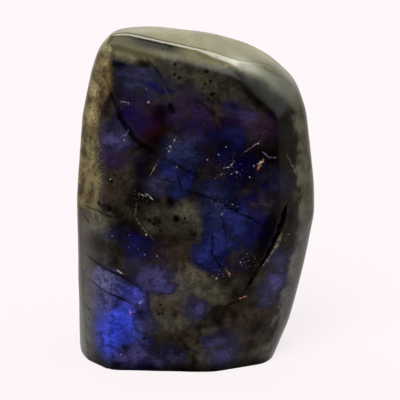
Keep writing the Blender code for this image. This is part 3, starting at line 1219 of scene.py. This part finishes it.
# Black grains of iron oxide.
GRAINS: Sequence[Speck] = (
    Speck(3.7, 102.8, 2.0, -10.0),
    Speck(5.1, 100.9, 0.9),
    Speck(5.1, 99.3, 1.1),
    Speck(3.1, 98.3, 0.9),
    Speck(2.8, 97.0, 0.8),
    Speck(5.4, 95.0, 1.2),
    Speck(6.3, 95.2, 0.9),
    Speck(2.4, 95.0, 0.7),
    Speck(4.4, 93.7, 0.7),
    Speck(-6.8, 104.7, 1.0, -9.4),
    Speck(-6.8, 101.5, 1.2),
    Speck(-5.2, 100.4, 1.2),
    Speck(-8.2, 91.3, 1.4),
    Speck(-7.2, 89.4, 1.2),
    Speck(-27.2, 67.7, 1.0),
    Speck(-28.5, 65.8, 1.4),
    Speck(-14.0, 51.5, 1.2),
    Speck(-11.7, 49.2, 0.9),
    Speck(-3.6, 53.4, 0.9),
    Speck(-0.3, 48.0, 1.0),
    Speck(-2.3, 39.8, 0.8),
    Speck(-8.0, 58.6, 1.3),
    Speck(-17.5, 11.6, 1.0),
    Speck(-12.6, 20.1, 0.9),
    Speck(-11.2, 20.3, 0.8),
    Speck(-11.9, 23.6, 0.8),
    Speck(-37.4, 19.1, 0.8, -9.8),
    Speck(-37.5, 15.5, 0.8, -10.1),
    Speck(-34.5, 10.9, 0.9, -13.7),
    Speck(-8.2, 109.9, 1.1, -6.3),
    Speck(-10.8, 109.6, 0.8, -6.7),
    Speck(-28.9, 90.7, 0.9, -10.0),
    Speck(7.1, 106.9, 0.9, -6.5),
    Speck(24.6, 15.1, 1.0, -14.9),
    Speck(17.5, 24.5, 0.9),
)

# Pale glints where a cleavage or a scratch catches the light.
GLINTS: Sequence[Speck] = (
    Speck(-16.2, 96.8, 0.4),
    Speck(-15.5, 92.2, 0.8),
    Speck(-23.7, 79.5, 0.5),
    Speck(-6.9, 79.9, 0.5),
    Speck(-8.3, 77.8, 0.7),
    Speck(-8.9, 75.9, 0.5),
    Speck(-6.3, 71.0, 0.6),
    Speck(-13.7, 70.9, 0.4),
    Speck(-22.4, 47.3, 0.5),
    Speck(-22.7, 43.4, 0.4),
    Speck(-19.3, 42.7, 0.35),
    Speck(-17.2, 40.9, 0.45),
    Speck(-12.9, 40.3, 0.4),
    Speck(-9.4, 37.2, 0.4),
    Speck(-28.1, 46.9, 0.35),
    Speck(-16.5, 47.8, 0.8),
    Speck(-18.0, 30.5, 0.35),
    Speck(10.4, 77.9, 0.5),
    Speck(7.8, 75.2, 0.5),
    Speck(4.1, 73.5, 0.5),
    Speck(13.8, 69.2, 0.6),
    Speck(12.1, 68.9, 0.5),
    Speck(19.5, 71.6, 0.6),
    Speck(18.2, 67.6, 0.5),
    Speck(21.0, 79.0, 0.5),
    Speck(9.2, 55.1, 0.5),
    Speck(7.8, 47.5, 0.4),
    Speck(12.5, 58.4, 0.6),
    Speck(14.2, 57.6, 0.5),
    Speck(15.3, 38.7, 0.5),
    Speck(29.6, 48.7, 0.6, -14.0),
    Speck(31.6, 47.6, 0.6, -14.0),
    Speck(7.2, 33.0, 0.8),
    Speck(-18.8, 24.2, 0.9),
    Speck(-28.6, 5.6, 0.5),
    Speck(-25.8, 5.7, 0.6),
    Speck(15.4, 26.2, 0.5),
    Speck(16.8, 26.6, 0.5),
    Speck(-28.5, 66.4, 0.5),
    Speck(33.4, 70.4, 0.5, -10.0),
)

# Where the cleavage is crushed, and a crowd of tiny glints shows.
CRUSHED: Sequence[Patch] = (
    Patch(Tint.CHALK, 17.0, 39.5, 7, 5, 0, 0.55),
    Patch(Tint.CHALK, -18.5, 61.0, 6, 3, -10, 0.8),
    Patch(Tint.CHALK, 11.5, 71.0, 10, 7, 20, 0.45),
    Patch(Tint.CHALK, -8.0, 78.0, 4, 8, -20, 0.4),
    Patch(Tint.CHALK, -18.0, 24.0, 6, 3, 0, 0.7),
    Patch(Tint.CHALK, 9.5, 34.5, 8, 4, 10, 0.45),
    Patch(Tint.CHALK, -24.0, 92.0, 5, 3, 0, 0.7),
    Patch(Tint.AMBER, -33.4, 94.0, 2.6, 9, -10, 0.7, -8.5),
    Patch(Tint.AMBER, -33.2, 84.0, 3.0, 10, 0, 0.8, -9.0),
    Patch(Tint.AMBER, -32.0, 75.0, 1.8, 12, 2, 1.0, -10.0),
    Patch(Tint.AMBER, -32.2, 65.0, 1.8, 12, 4, 1.0, -11.0),
    Patch(Tint.AMBER, -35.0, 68.0, 2.6, 14, 0, 0.5, -8.0),
    Patch(Tint.CHALK, 8.0, 58.0, 12, 6, -20, 0.5),
)


# ---------------------------------------------------------------- finishes


@dataclass
class LabradoriteFinish:
    """The polished stone: clouded colour, the flash inside it, seams, grains and glints under a gloss.

    Sizes are in mm. The noises that several layers read are made once, by material.
    """

    name: str = "polished_labradorite"
    roughness: float = 0.08
    refraction: float = 1.56

    # How borders wander: the lumps of the wandering, and how far it reaches.
    broad_wander: Lumps = Lumps(9.0, 1.0)
    broad_reach: float = 3.4
    close_wander: Lumps = Lumps(1.7)
    close_reach: float = 2.0
    edge_share: float = 0.5

    # Noises that several layers read.
    mottle_lumps: Lumps = Lumps(2.4, 4.0, 0.65)
    fine_lumps: Lumps = Lumps(0.75, 2.0, 0.6)
    veil_lumps: Lumps = Lumps(5.0, 3.0, 0.6)

    # The stone's own colour, and its flash.
    cloud_lumps: Lumps = Lumps(10.0, 3.0, 0.55)
    block_size: float = 3.0
    block_softness: float = 0.25
    block_pull: float = 0.15
    lamella_tilt: float = -24.0
    lamella_scale: Point = (0.22, 0.3, 1.2)
    lamella_lumps: Lumps = Lumps(1.0, 2.0, 0.6)
    vein_lumps: Lumps = Lumps(3.8, 4.0, 0.62)
    far_block_size: float = 13.0
    far_block_softness: float = 0.6
    far_lumps: Lumps = Lumps(8.0)

    # What lies over them.
    rind_strength: float = 0.95
    # How strongly the dark line under the ridge shows, partly a painted dark reflection.
    under_ridge_strength: float = 0.94
    corner_way: Point = (0.9, 0.0, 0.43)
    crack_size: float = 11.0
    crack_lumps: Lumps = Lumps(9.0, 1.0)
    spark_lumps: Lumps = Lumps(0.42, 1.0)
    grain_strength: float = 0.95
    glint_strength: float = 0.7
    glint_tint: Colour = (0.34, 0.32, 0.28)

    # What polishing left: waves and scratches, and how high they stand.
    wave_lumps: Lumps = Lumps(7.0)
    wave_height: float = 0.05
    scratch_lumps: Lumps = Lumps(1.1)
    scratch_height: float = 0.004

    # What material makes: the graph, the place without and with wandering, and the shared noises.
    graph: Graph = field(init=False)
    place: Socket = field(init=False)
    ragged: Socket = field(init=False)
    edges: Socket = field(init=False)
    mottle: Value = field(init=False)
    fine: Value = field(init=False)
    veil: Value = field(init=False)

    def material(self) -> bpy.types.Material:
        """Builds the material.

        Returns:
            The material, for the stone's polished skin.
        """
        made, graph = new_material(self.name)
        self.graph = graph
        self.place = in_stone(graph)
        broad = self._offset(self.broad_wander, self.broad_reach)
        close = self._offset(self.close_wander, self.close_reach)
        self.ragged = graph.vector("ADD", graph.vector("ADD", self.place, broad), close)
        self.edges = graph.vector("ADD", self.place, graph.scaled(close, self.edge_share))
        self.mottle = graph.cloudy(self.place, self.mottle_lumps)
        self.fine = graph.cloudy(self.place, self.fine_lumps)
        self.veil = graph.cloudy(self.place, self.veil_lumps)
        colour = self._lit_body()
        colour = self._sides(colour)
        colour = self._crown(colour)
        colour = graph.mix(1.0, colour, self._shade(), "MULTIPLY")
        grains = self._specks(GRAINS)
        glints = self._specks(GLINTS) * self.fine.eased(0.40, 0.56, 0.25, 1.0)
        colour = graph.mix(grains * self.grain_strength, colour, Tint.BLACK.value)
        colour = graph.mix(1.0, colour, self._light(), "ADD")
        colour = graph.mix(glints * self.glint_strength, colour, self.glint_tint)
        inputs = {
            "Base Color": colour,
            "Roughness": self.roughness,
            "IOR": self.refraction,
            "Normal": self._relief(),
        }
        surface = graph.node("ShaderNodeBsdfPrincipled", None, inputs)
        graph.node("ShaderNodeOutputMaterial", None, {0: surface.outputs[0]})
        return made

    def _offset(self, lumps: Lumps, reach: float) -> Socket:
        """Returns a wandering offset of up to about half of reach each way."""
        noise = self.graph.noise(self.place, lumps).outputs[1]
        return self.graph.scaled(self.graph.vector("SUBTRACT", noise, (0.5, 0.5, 0.5)), reach)

    def _blob(self, place: Socket, patch: Patch) -> Value:
        """Returns a patch's mask, from 0 outside it to its strength in its middle."""
        outer = 1 + patch.soft / 2
        inputs = {
            "Vector": place,
            "Location": patch.middle(),
            "Rotation": (0, -math.radians(patch.turn), 0),
            "Scale": (outer * patch.long / 2, outer * patch.deep, outer * patch.wide / 2),
        }
        local = self.graph.node("ShaderNodeMapping", {"vector_type": "TEXTURE"}, inputs).outputs[0]
        ball = self.graph.node("ShaderNodeTexGradient", {"gradient_type": "SPHERICAL"}, {0: local})
        mask = Value(self.graph, ball.outputs["Fac"])
        return mask.eased(0.0, patch.soft / outer, 0.0, patch.strength)

    def _laid(self, place: Socket, ground: object, patches: Sequence[Patch]) -> Socket:
        """Lays patches over a colour, the first one lowest."""
        colour = ground
        for patch in patches:
            colour = self.graph.mix(self._blob(place, patch), colour, patch.tint.value)
        return colour

    def _specks(self, specks: Sequence[Speck]) -> Value:
        """Returns one mask of many small specks."""
        found: Value | None = None
        for speck in specks:
            apart = self.graph.measure("DISTANCE", self.edges, speck.middle())
            near = apart.eased(speck.wide * 0.75, speck.wide * 0.25)
            found = near if found is None else found.highest(near)
        return found

    def _height_over(self, place: Socket, names: Sequence[str]) -> Value:
        """Returns how far a place stands over the nearest of these flats; it is below 0 in the stone."""
        highest: Value | None = None
        for name in names:
            outward = FLATS[name].facing()
            level = FLATS[name].point(STONE_SIZE).dot(outward) * MM_PER_METRE
            over = self.graph.measure("DOT_PRODUCT", place, outward) - level
            highest = over if highest is None else highest.highest(over)
        return highest

    def _lit_body(self) -> Socket:
        """Returns the stone's own colour with the flash in it; it is dimmer where the flash is blue."""
        graph = self.graph
        flash = self._flash()
        body = self._body()
        grain = self.mottle.eased(0.30, 0.70, 0.58, 1.42) * self.fine.eased(0.28, 0.72, 0.84, 1.16)
        body = graph.dimmed(body, grain * self.veil.eased(0.30, 0.52, 0.45, 1.10))
        blue = Value(graph, graph.node("ShaderNodeSeparateColor", None, {0: flash}).outputs[2])
        body = graph.dimmed(body, blue.eased(0.0, 0.030, 1.0, 0.15))
        return graph.mix(1.0, body, flash, "ADD")

    def _body(self) -> Socket:
        """Returns the stone's own colour: dark, with clouds, and a little paler at the back."""
        graph = self.graph
        clouds = graph.cloudy(self.ragged, self.cloud_lumps)
        y = graph.axes(self.ragged)[1]
        body = graph.mix(clouds.eased(0.42, 0.64), Tint.PEAT.value, Tint.DIM.value)
        behind = y.eased(-9.0, 2.0)
        body = graph.mix(behind * self.veil.eased(0.42, 0.62, 0.0, 0.8), body, Tint.OLIVE.value)
        return self._laid(self.ragged, body, ZONES)

    def _flash(self) -> Socket:
        """Returns the flash: soft domains with faint cleavage blocks and twin lamellae."""
        graph = self.graph
        ragged = self.ragged
        blocks = graph.voronoi(ragged, self.block_size, "SMOOTH_F1", self.block_softness)
        shift = graph.vector("SUBTRACT", blocks.outputs["Position"], ragged)
        blocky = graph.vector("ADD", ragged, graph.scaled(shift, self.block_pull))
        flash = self._laid(blocky, Tint.DARK.value, FLASHES)
        flash = graph.mix(1.0, flash, self._far_flash(), "ADD")
        turn = (0, math.radians(self.lamella_tilt), 0)
        inputs = {"Vector": ragged, "Rotation": turn, "Scale": self.lamella_scale}
        lamellae = graph.node("ShaderNodeMapping", None, inputs).outputs[0]
        streaks = graph.cloudy(lamellae, self.lamella_lumps).eased(0.3, 0.7, 0.75, 1.25)
        veins = graph.cloudy(ragged, self.vein_lumps).eased(0.36, 0.56, 0.40, 1.12)
        depth = self.mottle.eased(0.30, 0.70, 1.25, 0.75) * self.fine.eased(0.28, 0.72, 0.85, 1.15)
        return graph.dimmed(flash, streaks * depth * veins)

    def _far_flash(self) -> Socket:
        """Returns the flash of the sides and the back: some of the larger blocks shine."""
        graph = self.graph
        blocks = graph.voronoi(self.ragged, self.far_block_size, "SMOOTH_F1", self.far_block_softness)
        parts = graph.node("ShaderNodeSeparateColor", None, {0: blocks.outputs["Color"]}).outputs
        patchy = Value(graph, parts[0]).eased(0.45, 0.68)
        patchy = patchy * graph.cloudy(self.ragged, self.far_lumps).eased(0.32, 0.52)
        lit = patchy * graph.axes(self.ragged)[1].eased(-6.0, 1.0)
        stops = (
            (0.0, Tint.INDIGO.value),
            (0.3, Tint.ROYAL.value),
            (0.55, Tint.DUSK.value),
            (0.75, Tint.VIOLET.value),
            (1.0, Tint.STEEL.value),
        )
        return graph.dimmed(graph.ramp(parts[1], stops), lit)

    def _sides(self, colour: Socket) -> Socket:
        """Lays the pale rind of both sides over the colour.

        High up it is gold on the left and olive on the right; low down it is lilac grey on both, partly the
        stone's own colour and partly painted reflection of the room.
        """
        graph = self.graph
        veil = self.veil
        x, y, z = graph.axes(self.edges)
        low = (z + (veil - 0.5) * 26.0 * y.eased(-12.0, -2.0)).eased(60.0, 45.0)
        tone = veil.eased(0.36, 0.64)
        wander = (veil - 0.5) * 8.0
        right = self._height_over(self.edges, RIGHT_FLATS) + z.eased(74.0, 62.0, 0.0, 1.5) + wander
        olive = graph.mix(tone, Tint.DARK_BAND.value, Tint.BAND.value)
        # The lilac grey low down is partly painted reflection of the room on the rims.
        lilac = graph.mix(y.eased(-13.0, -2.0, 0.0, 0.75), Tint.LILAC_GREY.value, Tint.ASH.value)
        lilac = graph.mix(tone, Tint.DARK_LILAC_GREY.value, lilac)
        near = right.eased(-6.2, -3.6) * (1.0 - low * right.eased(-1.5, -6.5, 0.0, 0.55))
        colour = graph.mix(near * self.rind_strength, colour, graph.mix(low, olive, lilac))
        rich = (veil * 0.75 + self.mottle * 0.25).eased(0.39, 0.57)
        golden = graph.mix(rich, Tint.BRONZE.value, Tint.GOLD.value)
        inward = x - z.eased(87.0, 98.0) * 5.0 + wander * 0.6
        high = inward.eased(-31.3, -33.9) * (1.0 - low)
        deep = x.eased(-32.5, -38.5) * low
        left = high.highest(deep) * self.rind_strength
        return graph.mix(left, colour, graph.mix(low, golden, lilac))

    def _crown(self, colour: Socket) -> Socket:
        """Lays the pale rind of the crown, its brow and its corner over the colour; on the brow and the
        corner the paleness is partly painted reflection.

        A haze runs along its lower border on the front face, and a dark line lies under the ridge, partly the
        stone's own colour and partly a painted dark reflection.
        """
        graph = self.graph
        x, _, z = graph.axes(self.place)
        over_crown = self._height_over(self.place, CROWN_FLATS)
        over_brow = self._height_over(self.place, BROW_FLATS)
        corner = graph.measure("DOT_PRODUCT", self.edges, self.corner_way).eased(50.0, 62.0)
        inside = self._height_over(self.edges, ("front",)) - x.eased(-4.0, -22.0) * 1.1
        inside = inside + x.eased(-8.0, 10.0) * 0.5 + x.eased(17.0, 24.0) * 1.5
        inside = (inside + corner * 0.7) * (1.0 - corner * 0.55)
        covered = over_crown.eased(-6.0, -4.0)
        covered = covered.highest(over_brow.eased(-2.4, -0.8) * z.eased(87.0, 95.0))
        tone = self.veil.eased(0.36, 0.66)
        haze = graph.mix(tone, Tint.OLIVE.value, Tint.MIST.value)
        hazy = inside.eased(-0.1, -1.1) * covered * (1.0 - corner * 0.75)
        colour = graph.mix(hazy, colour, haze)
        pale = graph.mix(tone, Tint.BEIGE.value, Tint.PALE_BEIGE.value)
        # The corner's sage and the brow's fawn are partly the stone's colour and partly painted reflection of
        # the room; the fawn is darker to the left.
        sage = graph.mix(x.eased(23.0, 31.0), Tint.SAGE.value, Tint.DARK_SAGE.value)
        fawn = graph.mix(tone, Tint.FAWN.value, Tint.PALE_FAWN.value)
        fawn = graph.dimmed(fawn, x.eased(6.0, -24.0, 1.1, 0.7))
        brow = graph.mix(corner, fawn, sage)
        below = over_brow.eased(-1.0, -0.35).highest(corner * over_brow.eased(-2.6, -1.2))
        pale = graph.mix(below, pale, brow)
        # The rind spots hold a painted highlight at the corner end of the ridge, and tawny stains.
        pale = self._laid(self.place, pale, RIND_STAINS_AND_HIGHLIGHT)
        pale = graph.dimmed(pale, self.fine.eased(0.25, 0.75, 0.92, 1.08))
        colour = graph.mix(inside.eased(-0.7, -1.8) * covered, colour, pale)
        # A dark line under the ridge: partly the stone's own dark colour, partly a painted dark reflection.
        stain = over_crown.eased(-2.8, -1.4) * over_crown.eased(-0.15, -0.5)
        stain = stain * over_brow.eased(-1.7, -0.8) * x.eased(-25.0, -17.0) * x.eased(-1.0, -9.0)
        return graph.mix(stain * self.under_ridge_strength, colour, Tint.DARK_UNDER_RIDGE.value)

    def _shade(self) -> Socket:
        """Returns the share of light that seams, cracks, painted shade beside the fissure and painted shade
        along the sawn base leave.
        """
        graph = self.graph
        shade = self._laid(self.edges, Tint.SHADE_NONE.value, DARK_SEAMS_AND_SHADE)
        # Painted shade along the base, darker towards the bottom.
        rim = graph.axes(self.edges)[2].eased(4.5, 0.3, 0.0, 0.85)
        shade = graph.mix(rim, shade, Tint.SHADE_ALONG_BASE.value)
        cracks = graph.voronoi(self.edges, self.crack_size, "DISTANCE_TO_EDGE")
        patchy = graph.cloudy(self.edges, self.crack_lumps).eased(0.52, 0.64, 0.0, 0.35)
        patchy = patchy * graph.axes(self.edges)[2].eased(95.0, 85.0)
        lines = Value(graph, cracks.outputs["Distance"]).eased(0.030, 0.004) * patchy
        return graph.mix(lines, shade, Tint.SHADE_BLACK.value)

    def _light(self) -> Socket:
        """Returns the light that shining lines and crushed cleavage add."""
        graph = self.graph
        crowd = self._laid(self.edges, Tint.DARK.value, CRUSHED)
        sparks = graph.cloudy(self.edges, self.spark_lumps).eased(0.64, 0.76)
        crowd = graph.dimmed(crowd, sparks)
        lines = self._laid(self.edges, Tint.DARK.value, LIGHTS)
        lines = graph.dimmed(lines, self.fine.eased(0.42, 0.60, 0.12, 1.2))
        return graph.mix(1.0, lines, crowd, "ADD")

    def _relief(self) -> Socket:
        """Returns the normal of a polished face with the least of waves and scratches."""
        waves = self.graph.cloudy(self.place, self.wave_lumps) * self.wave_height
        scratches = self.graph.cloudy(self.place, self.scratch_lumps) * self.scratch_height
        return bumped(self.graph, waves + scratches)


@dataclass(frozen=True)
class BrokenFinish:
    """Freshly broken feldspar inside the fissure and the chips: dark, uneven and barely shining."""

    name: str = "broken_labradorite"
    roughness: float = 0.55
    grit_lumps: Lumps = Lumps(0.9, 4.0, 0.65)
    grit_height: float = 0.5
    stain_lumps: Lumps = Lumps(3.0)

    def material(self) -> bpy.types.Material:
        """Builds the material.

        Returns:
            The material, for faces that were never polished.
        """
        made, graph = new_material(self.name)
        place = in_stone(graph)
        grit = graph.cloudy(place, self.grit_lumps)
        stain = graph.cloudy(place, self.stain_lumps)
        colour = graph.mix(stain.eased(0.45, 0.7, 0.0, 0.4), Tint.BLACK.value, Tint.PEAT.value)
        colour = graph.mix(grit.eased(0.66, 0.8, 0.0, 0.25), colour, Tint.UMBER.value)
        normal = bumped(graph, grit * self.grit_height)
        inputs = {"Base Color": colour, "Roughness": self.roughness, "Normal": normal}
        surface = graph.node("ShaderNodeBsdfPrincipled", None, inputs)
        graph.node("ShaderNodeOutputMaterial", None, {0: surface.outputs[0]})
        return made


# ---------------------------------------------------------------- the studio


@dataclass(frozen=True)
class SoftSun:
    """A wide, soft light: where it comes from, how wide it is in degrees, and how strong."""

    name: str
    azimuth: float
    elevation: float
    width: float
    strength: float

    def build(self) -> bpy.types.Object:
        """Adds the light; its own image doesn't show in the polish."""
        light = bpy.data.lights.new(self.name, "SUN")
        light.energy = self.strength
        light.angle = math.radians(self.width)
        made = bpy.data.objects.new(self.name, light)
        bpy.context.scene.collection.objects.link(made)
        made.rotation_mode = "QUATERNION"
        made.rotation_quaternion = facing(self.azimuth, self.elevation).to_track_quat("Z", "Y")
        made.visible_glossy = False
        return made


@dataclass
class Studio:
    """A pale floor, soft lights, the room that the polish mirrors, and the camera."""

    floor_size: float = 12.0
    floor_matt: Colour = (0.13, 0.122, 0.124)
    floor_glow: Colour = (0.822, 0.765, 0.782)
    seen_tint: Colour = (0.98, 0.93, 0.945)
    suns: Sequence[SoftSun] = (
        SoftSun("key_light", -110, 58, 40, 2.6),
        SoftSun("fill_light", 10, 40, 60, 0.7),
        SoftSun("back_light", 120, 35, 60, 0.5),
    )
    even_tint: Colour = (1.0, 1.0, 1.0)
    even_light: float = 0.42
    mirror_tint: Colour = (1.0, 0.985, 0.92)
    strip_light: float = 7.5
    lens: float = 100.0
    elevation: float = 15.0
    distance: float = 0.389
    target: Vector = field(default_factory=lambda: Vector((1.6, 0.0, 55.8)) * MM)

    def build(self) -> None:
        """Builds the floor, the lights, the surroundings and the camera."""
        bpy.context.scene.view_settings.view_transform = "Standard"
        self._floor()
        for sun in self.suns:
            sun.build()
        self._surroundings()
        self._camera()

    def _floor(self) -> None:
        """Lays the floor, which the polish doesn't mirror."""
        select_nothing()
        bpy.ops.mesh.primitive_plane_add(size=self.floor_size)
        floor = newest("floor")
        made, graph = new_material("pale_floor")
        matt = graph.shader("ShaderNodeBsdfDiffuse", Color=self.floor_matt)
        glow = graph.shader("ShaderNodeEmission", Color=self.floor_glow, Strength=1.0)
        both = graph.node("ShaderNodeAddShader", None, {0: matt, 1: glow})
        graph.node("ShaderNodeOutputMaterial", None, {0: both.outputs[0]})
        floor.data.materials.append(made)
        floor.visible_glossy = False

    def _surroundings(self) -> None:
        """Makes the room: pale to the eye, even to matt surfaces, and with a strip light to the polish.

        The room's bounds are parts of the unit vector that a mirrored ray leaves along.
        """
        world = bpy.data.worlds.new("studio")
        bpy.context.scene.world = world
        world.use_nodes = True
        graph = Graph(world.node_tree)
        towards = graph.node("ShaderNodeTexCoord").outputs["Generated"]
        x, y, z = graph.axes(towards)
        strip = y.eased(-0.27, -0.12) * y.eased(0.34, 0.20) * z.eased(0.55, 0.75, 0.0, self.strip_light)
        strip = strip * x.eased(0.60, 0.42) * x.eased(-0.50, -0.18)
        front = y.eased(-0.36, -0.46) * z.eased(0.66, 0.80, 0.0, 1.0)
        behind = y.eased(0.30, 0.62) * z.eased(0.05, 0.45, 0.5, 1.0)
        right = x.eased(0.40, 0.75) * z.eased(0.25, 0.60, 0.14, 0.7)
        left = x.eased(-0.40, -0.75) * z.eased(0.10, 0.50, 0.20, 0.6)
        mirrored = strip + front.highest(behind).highest(left).highest(right)
        background = "ShaderNodeBackground"
        mirror = graph.shader(background, Color=self.mirror_tint, Strength=mirrored)
        even = graph.shader(background, Color=self.even_tint, Strength=self.even_light)
        seen = graph.shader(background, Color=self.seen_tint, Strength=1.0)
        ray = graph.node("ShaderNodeLightPath").outputs
        lit = graph.either(ray["Is Glossy Ray"], even, mirror)
        shown = graph.either(ray["Is Camera Ray"], lit, seen)
        graph.node("ShaderNodeOutputWorld", None, {0: shown})

    def _camera(self) -> None:
        """Sets up the camera, a little above the stone and looking down on it."""
        rise = math.radians(self.elevation)
        back = Vector((0.0, -math.cos(rise), math.sin(rise)))
        lens = bpy.data.cameras.new("camera")
        lens.lens = self.lens
        camera = bpy.data.objects.new("camera", lens)
        bpy.context.scene.collection.objects.link(camera)
        camera.location = self.target + back * self.distance
        camera.rotation_mode = "QUATERNION"
        camera.rotation_quaternion = back.to_track_quat("Z", "Y")
        bpy.context.scene.camera = camera


def main() -> None:
    """Builds the studio and the stone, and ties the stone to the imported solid."""
    logging.basicConfig(level=logging.INFO, format="%(name)s: %(message)s")
    Studio().build()
    log.info("studio is ready")
    maker = Stone()
    stone = maker.build(BrokenFinish().material())
    maker.dress(stone, LabradoriteFinish().material())
    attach(stone, STONE_BODY)
    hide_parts(STONE_NODE)
    log.info("%s has %d faces", stone.name, len(stone.data.polygons))


if __name__ == "__main__":
    main()
